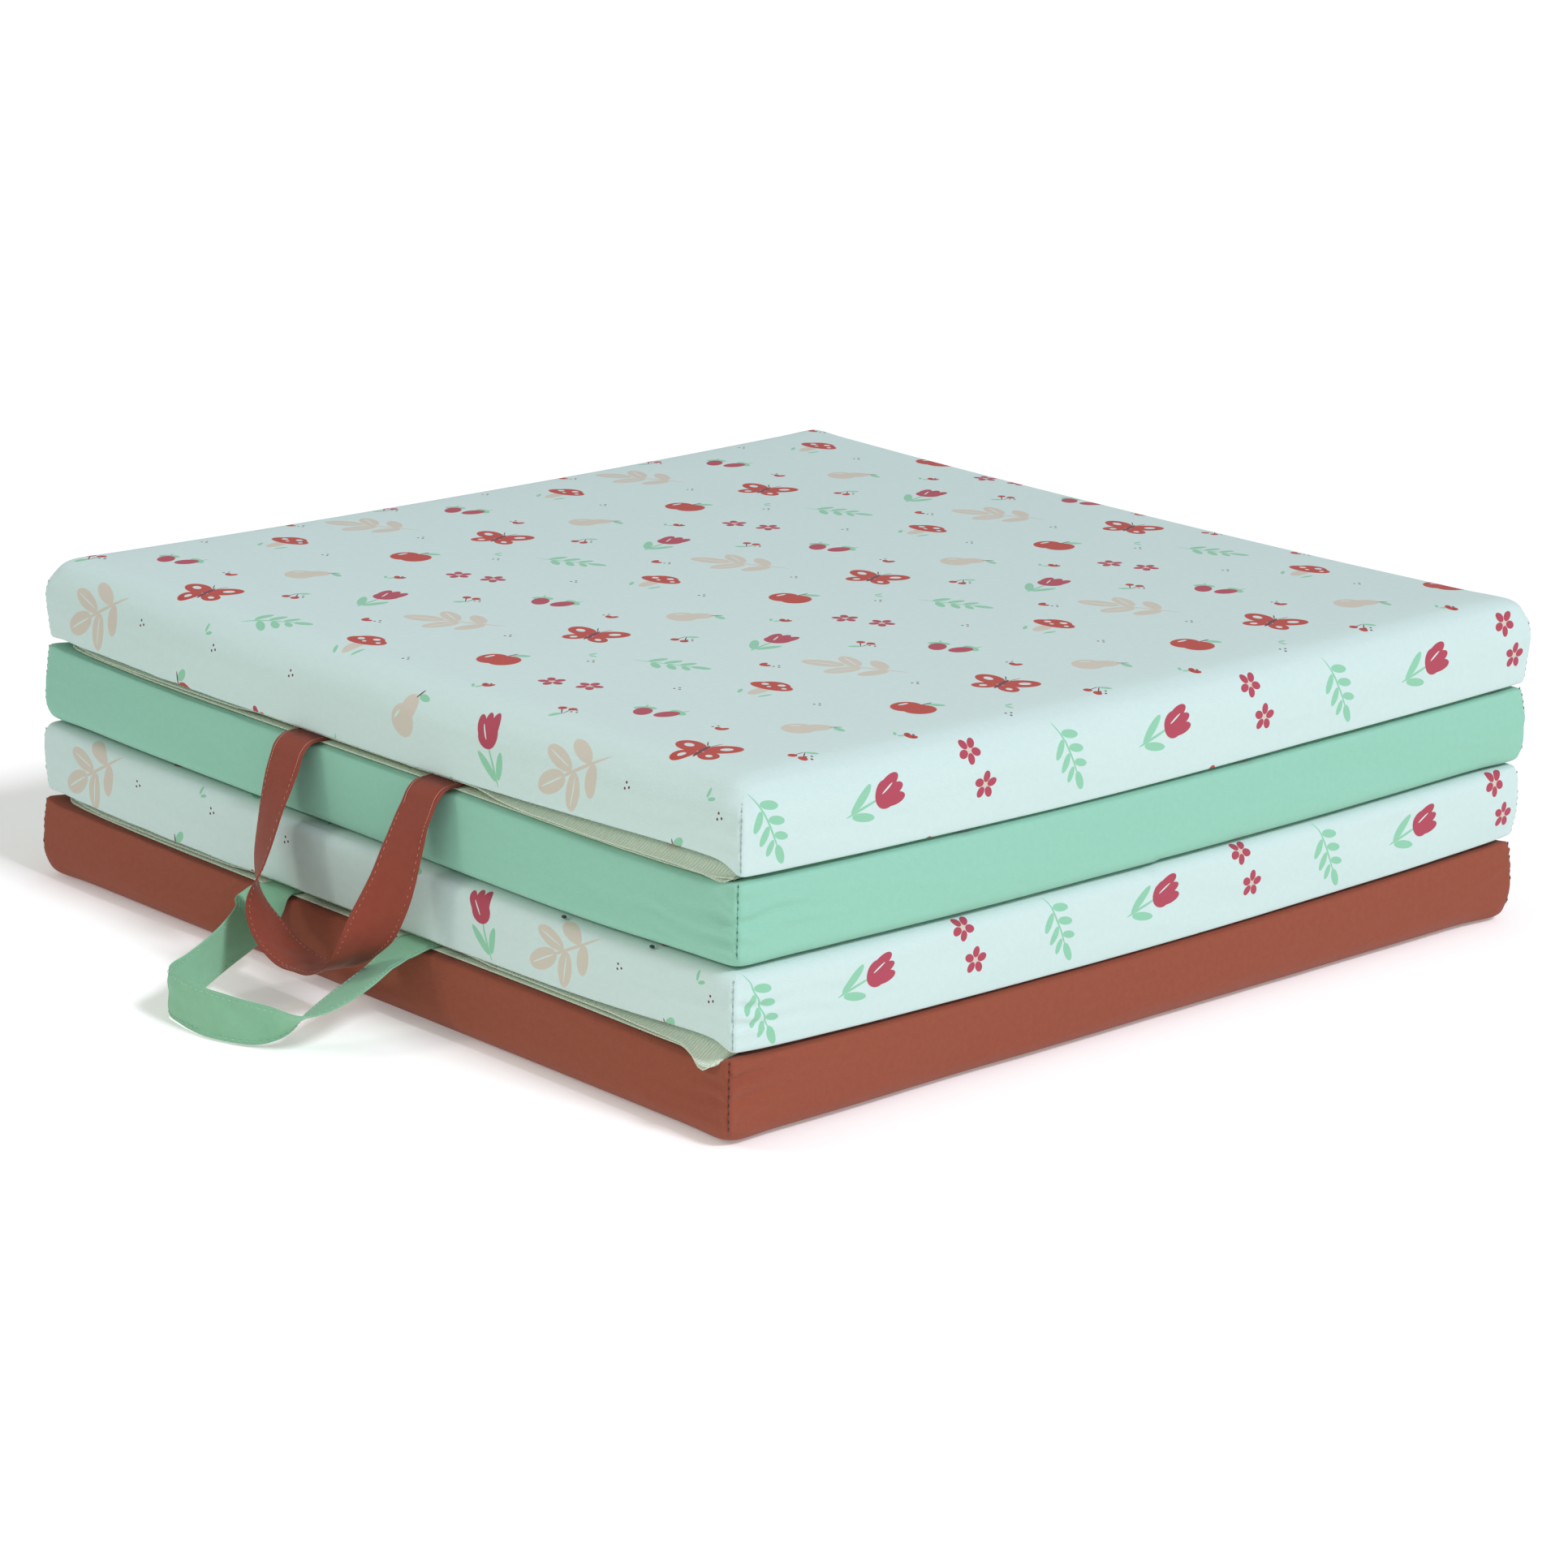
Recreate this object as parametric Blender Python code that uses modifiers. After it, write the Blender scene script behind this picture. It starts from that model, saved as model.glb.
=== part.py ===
"""A folding play mat for babies, folded up: four foam panels in cotton covers lie on each
other, with a ribbed base cloth between the two panels of each pair and a strap handle on
each pair. Metres, +Z up, origin under the middle of the bottom panel. The handles are on
the -Y side and the hinge of each pair is on the +X side."""

from math import cos, pi, radians, sin

import bmesh
import bpy
from mathutils import Vector

# Driving dimensions
SIDE = 0.604
CLEARANCE = 0.0003
CLOTH = 0.0010
STRAP = 0.0014
STRAP_WIDTH = 0.027

# Panels are numbered from the top of the stack down
PANEL_1_HEIGHT = 0.0494
PANEL_2_HEIGHT = 0.0439
PANEL_3_HEIGHT = 0.0416
PANEL_4_HEIGHT = 0.0426
PANEL_1_ROUNDING = 0.022
PANEL_2_ROUNDING = 0.009
PANEL_3_ROUNDING = 0.009
PANEL_4_ROUNDING = 0.014

BASE_RADIUS = 0.003
PLAN_RADIUS = 0.006
DRAWN_IN = 0.0015
DRAWN_IN_POWER = 5
DRAWN_IN_SHARE = 0.6
CORNER_LIFT = 0.0040
CORNER_LIFT_POWER = 2.5
CROWN = 0.0020
CREASE_SHARE = 0.45

# How far the hinge and the parted edges change a panel
HINGE_REACH = 0.0055
LIP_SHARE = 0.8

FOLD_INSET = 0.008
FOLD_FADE = 0.015
FOLD_STEPS = 4
CLOTH_INSET = 0.0045
CLOTH_CORNER = 0.025
LEAST_SPACING = 0.002

HANDLE_STEPS = 60
TANGENT_STEP = 0.002

# Share of a rounding's radius at which its slope is 45 degrees
ROUNDING_MIDDLE = 1 - 2 ** 0.5 / 2

SHARP_ANGLE = radians(50)

# Colours of the cloths
PRINT_GROUND = (0.62, 0.80, 0.78)
MINT = (0.30, 0.61, 0.47)
RUST = (0.34, 0.10, 0.06)
SAGE = (0.60, 0.63, 0.50)

HALF = SIDE / 2
SLOT = 2 * CLEARANCE + STRAP
PAIR_GAP = 2 * (CLEARANCE + CLOTH) + SLOT

# Levels where the panels and cloths lie, worked out from the floor up
LEVEL_4_TOP = PANEL_4_HEIGHT
LEVEL_3_BOTTOM = LEVEL_4_TOP + PAIR_GAP
LEVEL_3_TOP = LEVEL_3_BOTTOM + PANEL_3_HEIGHT
LEVEL_2_BOTTOM = LEVEL_3_TOP + 2 * CLEARANCE
LEVEL_2_TOP = LEVEL_2_BOTTOM + PANEL_2_HEIGHT
LEVEL_1_BOTTOM = LEVEL_2_TOP + PAIR_GAP
LEVEL_1_TOP = LEVEL_1_BOTTOM + PANEL_1_HEIGHT

# Where each layer has slipped to, away from the bottom panel
SLIP_4 = (0.0, 0.0)
SLIP_3 = (-0.0005, 0.0025)
SLIP_2 = (-0.0010, 0.0050)
SLIP_1 = (-0.0015, 0.0070)

# Height of the sewn hinge between two panels, along +X
# (y, upper pair, lower pair)
HINGE_SEAM = (
    (-0.300, 0.1384, 0.0484),
    (-0.270, 0.1368, 0.0458),
    (-0.210, 0.1352, 0.0443),
    (-0.160, 0.1341, 0.0432),
    (-0.070, 0.1326, 0.0420),
    (0.020, 0.1330, 0.0414),
    (0.110, 0.1344, 0.0427),
    (0.180, 0.1352, 0.0440),
    (0.250, 0.1361, 0.0456),
    (0.300, 0.1376, 0.0486),
)

# How far the cover's edges part along the handle side
# (x, panel 1 up, panel 2 down, panel 3 up, panel 4 down)
HANDLE_SIDE_LIPS = (
    (-0.300, -0.0015, -0.0018, -0.0010, -0.0020),
    (-0.288, 0.0000, -0.0006, 0.0000, 0.0004),
    (-0.250, 0.0000, 0.0012, 0.0000, 0.0014),
    (-0.110, 0.0000, 0.0000, 0.0000, 0.0000),
    (0.085, 0.0000, 0.0000, 0.0000, 0.0000),
    (0.130, 0.0014, 0.0014, -0.0004, 0.0000),
    (0.205, 0.0032, 0.0032, 0.0000, 0.0010),
    (0.245, 0.0034, 0.0032, 0.0010, 0.0032),
    (0.283, 0.0046, 0.0032, 0.0036, 0.0042),
    (0.300, -0.0031, -0.0014, -0.0028, -0.0018),
)

# The rust handle hangs: a U whose legs turn from flat on the side to flat underneath
# (x, y, z, direction of the width in degrees from +X, seen from above)
UPPER_HANDLE = (
    (-0.0560, -0.2620, 0.0, 0),
    (-0.0560, -0.2770, 0.0, 0),
    (-0.0560, -0.2920, 0.0, 0),
    (-0.0560, -0.2990, -0.0012, 0),
    (-0.0560, -0.3040, -0.0056, 0),
    (-0.0560, -0.3070, -0.0120, 0),
    (-0.0560, -0.3110, -0.0220, -3),
    (-0.0570, -0.3165, -0.0400, -12),
    (-0.0575, -0.3225, -0.0630, -24),
    (-0.0550, -0.3270, -0.0790, -42),
    (-0.0465, -0.3300, -0.0915, -64),
    (-0.0335, -0.3315, -0.1015, -80),
    (-0.0170, -0.3320, -0.1075, -88),
    (0.0010, -0.3325, -0.1085, -90),
    (0.0180, -0.3330, -0.1060, -92),
    (0.0325, -0.3330, -0.0980, -100),
    (0.0430, -0.3315, -0.0865, -116),
    (0.0505, -0.3280, -0.0725, -138),
    (0.0560, -0.3225, -0.0550, -153),
    (0.0585, -0.3165, -0.0350, -167),
    (0.0595, -0.3110, -0.0200, -177),
    (0.0600, -0.3070, -0.0120, -180),
    (0.0600, -0.3040, -0.0056, -180),
    (0.0600, -0.2990, -0.0012, -180),
    (0.0600, -0.2920, 0.0, -180),
    (0.0600, -0.2770, 0.0, -180),
    (0.0600, -0.2620, 0.0, -180),
)

# The mint handle stands on its edge on the floor, and its legs turn to lie flat in the gap
# (x, y, z, width direction x, y, z)
LOWER_HANDLE = (
    (-0.0755, -0.2620, 0.0449, -1.00, 0.00, 0.00),
    (-0.0755, -0.2790, 0.0449, -1.00, 0.00, 0.00),
    (-0.0755, -0.2920, 0.0449, -1.00, 0.00, 0.00),
    (-0.0755, -0.2985, 0.0448, -1.00, 0.00, 0.00),
    (-0.0750, -0.3060, 0.0425, -0.96, 0.00, 0.28),
    (-0.0725, -0.3140, 0.0375, -0.72, 0.00, 0.70),
    (-0.0685, -0.3240, 0.0312, -0.28, 0.00, 0.96),
    (-0.0620, -0.3440, 0.0240, 0.00, 0.00, 1.00),
    (-0.0520, -0.3740, 0.0168, 0.00, 0.00, 1.00),
    (-0.0470, -0.3890, 0.0146, 0.00, 0.00, 1.00),
    (-0.0410, -0.3955, 0.0142, 0.00, 0.00, 1.00),
    (-0.0260, -0.3985, 0.0140, 0.00, 0.00, 1.00),
    (-0.0040, -0.3990, 0.0140, 0.05, 0.00, 1.00),
    (0.0170, -0.3950, 0.0142, 0.30, 0.00, 0.95),
    (0.0340, -0.3870, 0.0150, 0.65, 0.05, 0.75),
    (0.0455, -0.3750, 0.0172, 0.85, 0.08, 0.50),
    (0.0485, -0.3600, 0.0215, 0.93, 0.08, 0.33),
    (0.0460, -0.3440, 0.0255, 0.96, 0.08, 0.24),
    (0.0430, -0.3290, 0.0300, 0.96, 0.06, 0.24),
    (0.0420, -0.3170, 0.0348, 0.96, 0.00, 0.26),
    (0.0440, -0.3075, 0.0408, 0.99, 0.00, 0.12),
    (0.0465, -0.2995, 0.0447, 1.00, 0.00, 0.00),
    (0.0470, -0.2920, 0.0449, 1.00, 0.00, 0.00),
    (0.0470, -0.2790, 0.0449, 1.00, 0.00, 0.00),
    (0.0470, -0.2620, 0.0449, 1.00, 0.00, 0.00),
)

# Rows of points on a panel, as distances from its edge
EDGE_ROWS = (0.0, 0.006, 0.014, 0.024, 0.093, 0.162, 0.231, HALF)
COLUMNS = 2 * (len(EDGE_ROWS) - 1)

# How much of the parted edge is left further in
# (distance from the edge, share)
LIP_FADE = ((EDGE_ROWS[0], 1.0), (EDGE_ROWS[1], 0.84), (EDGE_ROWS[2], 0.40), (EDGE_ROWS[3], 0.0))


def smooth_step(value):
    """0 below 0, 1 above 1, and a smooth ramp between."""
    value = min(max(value, 0.0), 1.0)
    return value * value * (3 - 2 * value)


def look_up(table, place, column):
    """A column of a table, read between its rows by the first column."""
    if place <= table[0][0]:
        return table[0][column]
    for low, high in zip(table, table[1:]):
        if place <= high[0]:
            share = (place - low[0]) / (high[0] - low[0])
            return low[column] + share * (high[column] - low[column])
    return table[-1][column]


def settle(x, y, z):
    """Corners of the stack stand a little higher than the middles of its edges."""
    toward_corner = min(abs(x * y) / (HALF * HALF), 1.0) ** CORNER_LIFT_POWER
    return z + CORNER_LIFT * toward_corner * smooth_step(z / PANEL_4_HEIGHT)


def edge_place(index):
    """Place of a grid line across a panel, from -HALF to HALF, by its number."""
    half_count = COLUMNS // 2
    if index <= half_count:
        return EDGE_ROWS[index] - HALF
    return HALF - EDGE_ROWS[COLUMNS - index]


def round_edge(along, up):
    """A point of a square, each side 0 to 1, moved onto the quarter circle inside it."""
    length = (along * along + up * up) ** 0.5
    if length == 0:
        return 0.0, 0.0
    reach = max(along, up)
    return along / length * reach, up / length * reach


def lip(x, y, number, level):
    """How far the edge of a panel's open side lies above its level, at a place in plan."""
    pair = 1 if number < 3 else 2
    seam = look_up(HINGE_SEAM, y, pair)
    upper = number in (1, 3)
    corner_lift = settle(HALF, y, level) - level
    hinge = seam + (CLEARANCE / 2 if upper else -CLEARANCE / 2) - level - corner_lift
    hinge_share = 1 - smooth_step((HALF - x) / HINGE_REACH)
    opened = look_up(HANDLE_SIDE_LIPS, x, number)
    handle = opened if upper else -opened
    handle_share = look_up(LIP_FADE, y + HALF, 1)
    return hinge * hinge_share + handle * handle_share * (1 - hinge_share)


def panel(name, number, low, high, rounding, slip, colour, roughness):
    """A filled panel. Panels 1 and 3 lie with their rounded side up, 2 and 4 down."""
    upright = number in (1, 3)
    height = high - low
    wall_rows = (0.0, BASE_RADIUS, CREASE_SHARE * height, height - rounding,
                 height - 2 * ROUNDING_MIDDLE * rounding, height)
    mesh_data = bmesh.new()
    bmesh.ops.create_cube(mesh_data, size=2)
    level_edges = [e for e in mesh_data.edges if abs(e.verts[0].co.z - e.verts[1].co.z) < 1]
    bmesh.ops.subdivide_edges(mesh_data, edges=level_edges, cuts=COLUMNS - 1, use_grid_fill=True)
    upright_edges = [e for e in mesh_data.edges if abs(e.verts[0].co.z - e.verts[1].co.z) > 1]
    bmesh.ops.subdivide_edges(mesh_data, edges=upright_edges, cuts=len(wall_rows) - 2,
                              use_grid_fill=True)
    for vert in mesh_data.verts:
        column_x = round((vert.co.x + 1) / 2 * COLUMNS)
        column_y = round((vert.co.y + 1) / 2 * COLUMNS)
        row = round((vert.co.z + 1) / 2 * (len(wall_rows) - 1))
        rise = wall_rows[row if upright else len(wall_rows) - 1 - row]
        place = panel_point(edge_place(column_x), edge_place(column_y), rise, height,
                            rounding, number, low if upright else high)
        x, y = place.x + slip[0], place.y + slip[1]
        z = low + place.z if upright else high - place.z
        vert.co = (x, y, settle(x, y, z))
    return add_object(name, mesh_data, colour, roughness)


def panel_point(x, y, rise, height, rounding, number, level):
    """A panel's point from its place on a square block, as height above the open side."""
    near_crown = rise > height / 2
    radius = rounding if near_crown else BASE_RADIUS
    to_face = height - rise if near_crown else rise
    along_x = max(0.0, 1 - (HALF - abs(x)) / radius)
    along_y = max(0.0, 1 - (HALF - abs(y)) / radius)
    up = max(0.0, 1 - to_face / radius)
    round_x, up_x = round_edge(along_x, up)
    round_y, up_y = round_edge(along_y, up)
    lifted = up_x * up_y / up if up > 0 else 0.0
    new_x = min(abs(x), HALF - radius) + radius * round_x if along_x > 0 else abs(x)
    new_y = min(abs(y), HALF - radius) + radius * round_y if along_y > 0 else abs(y)
    new_x, new_y = round_corner(new_x, new_y)
    inward = DRAWN_IN * (1 - smooth_step(rise / (DRAWN_IN_SHARE * height)))
    new_x = draw_in(new_x, inward)
    new_y = draw_in(new_y, inward)
    depth = radius * (1 - lifted) if up > 0 else to_face
    new_rise = height - depth if near_crown else depth
    new_rise += crown_shape(x, y, number) * (rise / height)
    offset = lip(x, y, number, level) * (1 - smooth_step(rise / (LIP_SHARE * height)))
    new_rise += offset if number in (1, 3) else -offset
    return Vector((new_x if x > 0 else -new_x, new_y if y > 0 else -new_y, new_rise))


def draw_in(place, inward):
    """Pulls the edge of a square inwards and leaves its middle where it is."""
    return place - inward * (place / HALF) ** DRAWN_IN_POWER


def crown_shape(x, y, number):
    """Only the top panel, with nothing on it, rises towards its middle."""
    if number != 1:
        return 0.0
    return CROWN * (1 - (x / HALF) ** 2) * (1 - (y / HALF) ** 2)


def round_corner(x, y):
    """Rounds the corner of the square outline in plan."""
    inner = HALF - PLAN_RADIUS
    if x <= inner or y <= inner:
        return x, y
    direction = Vector((x - inner, y - inner))
    reach = max(direction)
    direction.normalize()
    return inner + direction.x * reach, inner + direction.y * reach


def base_cloth(name, lower, upper, lower_level, upper_level, slips, colour):
    """A thin cloth over the open side of two panels, folded once at their hinge."""
    leg_low = lower_level + CLEARANCE + CLOTH / 2
    leg_high = upper_level - CLEARANCE - CLOTH / 2
    turn_radius = (leg_high - leg_low) / 2
    turn_x = HALF - FOLD_INSET - turn_radius
    across = [edge_place(index) for index in range(1, COLUMNS)]
    stations = [CLOTH_INSET - HALF] + [x for x in across if x < turn_x - LEAST_SPACING] + [turn_x]
    rows = [CLOTH_INSET - HALF] + across + [HALF - CLOTH_INSET]
    path = [(x, 0.0) for x in stations]
    for step in range(1, FOLD_STEPS):
        share = step / FOLD_STEPS
        path.append((turn_x + turn_radius * sin(pi * share), share))
    path += [(x, 1.0) for x in reversed(stations)]
    mesh_data = bmesh.new()
    bmesh.ops.create_grid(mesh_data, x_segments=len(path) - 1, y_segments=len(rows) - 1, size=1)
    for vert in mesh_data.verts:
        column = round((vert.co.x + 1) / 2 * (len(path) - 1))
        row = round((vert.co.y + 1) / 2 * (len(rows) - 1))
        x, share = path[column]
        y = rows[row]
        turn = (1 - cos(pi * share)) / 2
        fade = smooth_step((turn_x - x) / FOLD_FADE)
        low_z = leg_low + lip(min(x, turn_x), y, lower, lower_level) * fade
        high_z = leg_high + lip(min(x, turn_x), y, upper, upper_level) * fade
        z = low_z + (high_z - low_z) * turn
        x, y = cut_corner(x, y)
        x, y = draw_in(x, DRAWN_IN), draw_in(y, DRAWN_IN)
        x += slips[0][0] + (slips[1][0] - slips[0][0]) * turn
        y += slips[0][1] + (slips[1][1] - slips[0][1]) * turn
        vert.co = (x, y, settle(x, y, z))
    cloth = add_object(name, mesh_data, colour, 0.9)
    thicken(cloth, CLOTH)
    return cloth


def cut_corner(x, y):
    """Rounds the two free corners of a base cloth leg, away from the hinge."""
    edge = HALF - CLOTH_INSET
    inner = edge - CLOTH_CORNER
    if -x <= inner or abs(y) <= inner:
        return x, y
    direction = Vector((-x - inner, abs(y) - inner))
    reach = max(direction)
    direction.normalize()
    new_y = inner + direction.y * reach
    return -(inner + direction.x * reach), new_y if y > 0 else -new_y


def between(points, share):
    """A smooth curve through points: the point at a share of its way."""
    place = share * (len(points) - 1)
    index = min(int(place), len(points) - 2)
    t = place - index
    before = points[max(index - 1, 0)]
    start = points[index]
    end = points[index + 1]
    after = points[min(index + 2, len(points) - 1)]
    return 0.5 * ((2 * start) + (end - before) * t
                  + (2 * before - 5 * start + 4 * end - after) * t ** 2
                  + (3 * start - before - 3 * end + after) * t ** 3)


def strap(name, centres, widths, colour):
    """A flat strap along a path, its width turned as the second list says."""
    mesh_data = bmesh.new()
    bmesh.ops.create_grid(mesh_data, x_segments=HANDLE_STEPS, y_segments=2, size=1)
    for vert in mesh_data.verts:
        share = (vert.co.x + 1) / 2
        centre = between(centres, share)
        ahead = between(centres, min(share + TANGENT_STEP, 1.0))
        behind = between(centres, max(share - TANGENT_STEP, 0.0))
        tangent = (ahead - behind).normalized()
        across = between(widths, share)
        across = (across - across.dot(tangent) * tangent).normalized()
        vert.co = centre + across * (vert.co.y * STRAP_WIDTH / 2)
    handle = add_object(name, mesh_data, colour, 0.8)
    thicken(handle, STRAP)
    return handle


def upper_handle_path():
    """The rust handle's centre line and width directions; its heights start at the slot."""
    slot_level = LEVEL_2_TOP + CLEARANCE + CLOTH + SLOT / 2
    centres = [Vector((x, y, slot_level + z)) for x, y, z, turn in UPPER_HANDLE]
    widths = [Vector((cos(radians(turn)), sin(radians(turn)), 0)) for x, y, z, turn in UPPER_HANDLE]
    return centres, widths


def lower_handle_path():
    """The mint handle's centre line and width directions."""
    centres = [Vector(row[:3]) for row in LOWER_HANDLE]
    widths = [Vector(row[3:]).normalized() for row in LOWER_HANDLE]
    return centres, widths


def thicken(sheet, thickness):
    """Gives a sheet its thickness, half to each side."""
    solidify = sheet.modifiers.new("thickness", "SOLIDIFY")
    solidify.thickness = thickness
    solidify.offset = 0
    solidify.use_even_offset = True


def add_object(name, mesh_data, colour, roughness):
    """Puts a mesh in the scene as a named object with its own material."""
    bmesh.ops.recalc_face_normals(mesh_data, faces=mesh_data.faces)
    mesh = bpy.data.meshes.new(name)
    mesh_data.to_mesh(mesh)
    mesh_data.free()
    mesh.shade_smooth()
    mesh.set_sharp_from_angle(angle=SHARP_ANGLE)
    piece = bpy.data.objects.new(name, mesh)
    collection.objects.link(piece)
    material = bpy.data.materials.new(name)
    material.use_nodes = True
    shader = material.node_tree.nodes["Principled BSDF"]
    shader.inputs["Base Color"].default_value = (*colour, 1)
    shader.inputs["Roughness"].default_value = roughness
    mesh.materials.append(material)
    return piece


for old in list(bpy.data.objects):
    bpy.data.objects.remove(old)
collection = bpy.data.collections.new("folding_play_mat")
bpy.context.scene.collection.children.link(collection)

panel("bottom_panel", 4, 0.0, LEVEL_4_TOP, PANEL_4_ROUNDING, SLIP_4, RUST, 0.85)
panel("third_panel", 3, LEVEL_3_BOTTOM, LEVEL_3_TOP, PANEL_3_ROUNDING, SLIP_3, PRINT_GROUND, 0.8)
panel("second_panel", 2, LEVEL_2_BOTTOM, LEVEL_2_TOP, PANEL_2_ROUNDING, SLIP_2, MINT, 0.8)
panel("top_panel", 1, LEVEL_1_BOTTOM, LEVEL_1_TOP, PANEL_1_ROUNDING, SLIP_1, PRINT_GROUND, 0.8)
base_cloth("lower_base_cloth", 4, 3, LEVEL_4_TOP, LEVEL_3_BOTTOM, (SLIP_4, SLIP_3), SAGE)
base_cloth("upper_base_cloth", 2, 1, LEVEL_2_TOP, LEVEL_1_BOTTOM, (SLIP_2, SLIP_1), SAGE)
strap("upper_handle", *upper_handle_path(), RUST)
strap("lower_handle", *lower_handle_path(), MINT)
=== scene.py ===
# %% [markdown]
# A folding play mat for babies, folded up. Four square foam panels in cotton covers lie on each
# other, with a ribbed base cloth between the two panels of each pair, and a flat strap handle on
# each pair. The solids give the true shapes, and this scene dresses them in cloth: softer walls,
# sewn corners, stitches and a printed cotton.

# %% Load the solids and keep their box
from math import atan2, cos, pi, radians, sin

import bpy
from mathutils import Matrix, Vector, noise
from mathutils.bvhtree import BVHTree


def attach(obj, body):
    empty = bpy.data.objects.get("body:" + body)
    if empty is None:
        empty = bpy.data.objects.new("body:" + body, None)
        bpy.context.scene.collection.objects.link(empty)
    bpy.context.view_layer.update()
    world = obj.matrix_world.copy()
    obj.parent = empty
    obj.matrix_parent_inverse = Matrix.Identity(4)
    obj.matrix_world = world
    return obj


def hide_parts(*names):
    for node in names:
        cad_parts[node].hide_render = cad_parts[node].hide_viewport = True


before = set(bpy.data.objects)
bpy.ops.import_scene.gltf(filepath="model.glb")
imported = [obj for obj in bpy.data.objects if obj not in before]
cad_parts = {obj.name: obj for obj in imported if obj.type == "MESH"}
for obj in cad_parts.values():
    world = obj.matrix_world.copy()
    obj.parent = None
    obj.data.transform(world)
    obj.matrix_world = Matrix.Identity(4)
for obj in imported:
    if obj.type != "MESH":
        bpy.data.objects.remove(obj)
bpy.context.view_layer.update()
print("solids", sorted(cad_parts))

# %% [markdown]
# Operators act on whatever is selected, so each step first clears the selection and then picks
# the one piece that it works on. One helper does that, one applies a modifier at once, and one
# puts new data into the scene as an object.

# %% Helpers for selecting, finishing and adding
def pick(piece):
    """Selects one object and nothing else."""
    bpy.ops.object.select_all(action="DESELECT")
    piece.select_set(True)
    bpy.context.view_layer.objects.active = piece


def finish_modifier(piece, kind, **settings):
    """Adds a modifier, sets it and applies it."""
    pick(piece)
    modifier = piece.modifiers.new(kind.lower(), kind)
    for name, value in settings.items():
        setattr(modifier, name, value)
    bpy.ops.object.modifier_apply(modifier=modifier.name)


def add_object(name, data):
    """A new object in the scene."""
    made = bpy.data.objects.new(name, data)
    bpy.context.scene.collection.objects.link(made)
    return made


print("Blender", bpy.app.version_string)

# %% [markdown]
# The stack's own sizes, in metres. Panels are numbered from the top of the stack down. Panels 1
# and 3 lie with their rounded face up, and panels 2 and 4 with it down, because each pair folds
# shut on its base cloths like a book. The base is a panel's level at its open side.

# %% Sizes of the stack
HALF = 0.302
PANELS = {
    "top_panel": {"up": True, "low": 0.1379, "high": 0.1873, "round": 0.022, "slip": (-0.0015, 0.007)},
    "second_panel": {"up": False, "low": 0.0894, "high": 0.1333, "round": 0.009, "slip": (-0.001, 0.005)},
    "third_panel": {"up": True, "low": 0.0472, "high": 0.0888, "round": 0.009, "slip": (-0.0005, 0.0025)},
    "bottom_panel": {"up": False, "low": 0.0, "high": 0.0426, "round": 0.014, "slip": (0.0, 0.0)},
}
for facts in PANELS.values():
    facts["height"] = facts["high"] - facts["low"]
    facts["sign"] = 1 if facts["up"] else -1
    facts["base"] = facts["low"] if facts["up"] else facts["high"]
    facts["face"] = facts["high"] if facts["up"] else facts["low"]
print("panels", len(PANELS), "stack height", PANELS["top_panel"]["high"])

# %% [markdown]
# A panel is a foam block in a tight cotton cover. It could be made anew from a cube, but the solid
# already has the right rounded edges and the sag of the hinge, so its mesh is copied. The solid is
# made of loose triangles, so the copy is merged and its triangles are joined into squares. Two
# levels of subdivision then round it.

# %% Copy the solids as smooth covers
MERGE_REACH = 0.00001
COVER_LEVELS = 2


def faces_of(piece):
    """Number of faces, for the messages."""
    return len(piece.data.polygons)


def soft_copy(part_name, name, levels):
    """A copy of a solid's mesh, in squares, subdivided."""
    piece = add_object(name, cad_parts[part_name].data.copy())
    piece.data.materials.clear()
    pick(piece)
    bpy.ops.object.mode_set(mode="EDIT")
    bpy.ops.mesh.select_all(action="SELECT")
    bpy.ops.mesh.remove_doubles(threshold=MERGE_REACH)
    bpy.ops.mesh.tris_convert_to_quads(face_threshold=pi, shape_threshold=pi)
    bpy.ops.object.mode_set(mode="OBJECT")
    finish_modifier(piece, "SUBSURF", levels=levels, render_levels=levels)
    return piece


covers = {}
for panel_name in PANELS:
    cover_name = panel_name.replace("_panel", "_cover")
    covers[panel_name] = soft_copy(panel_name, cover_name, COVER_LEVELS)
    print(cover_name, faces_of(covers[panel_name]))

# %% [markdown]
# Cloth can only wrinkle where its mesh has points, and the squares in the middle of a panel are
# still long. So every long edge is cut first, then the upright edges of the walls, and last the
# level edges at the four upright corners, where a sewn seam needs the finest mesh.

# %% Cut the long squares up
LONG_EDGE = 0.012
LONG_RISE = 0.003
STEEP = 0.72
CORNER_REACH = 0.010
CORNER_EDGE = 0.0008
LEVEL = 0.3


def cut_edges(piece, wanted, cuts):
    """Cuts the edges that are wanted, given as a rule on an edge's vector and its middle."""
    pick(piece)
    bpy.ops.object.mode_set(mode="EDIT")
    bpy.ops.mesh.select_all(action="DESELECT")
    bpy.ops.mesh.select_mode(type="EDGE")
    bpy.ops.object.mode_set(mode="OBJECT")
    points = piece.data.vertices
    for edge in piece.data.edges:
        first, last = (points[number].co for number in edge.vertices)
        edge.select = wanted(last - first, (first + last) / 2)
    bpy.ops.object.mode_set(mode="EDIT")
    bpy.ops.mesh.subdivide(number_cuts=cuts)
    bpy.ops.object.mode_set(mode="OBJECT")


def is_long(way, middle):
    """True for any long edge."""
    return way.length > LONG_EDGE


def is_steep(way, middle):
    """True for an upright edge that isn't short."""
    return way.length > LONG_RISE and abs(way.z) > STEEP * way.length


def is_level_at_corner(way, middle):
    """True for a level edge near one of the four upright corners of the stack."""
    at_corner = min(abs(middle.x), abs(middle.y)) > HALF - CORNER_REACH
    return at_corner and way.length > CORNER_EDGE and abs(way.z) < LEVEL * way.length


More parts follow.
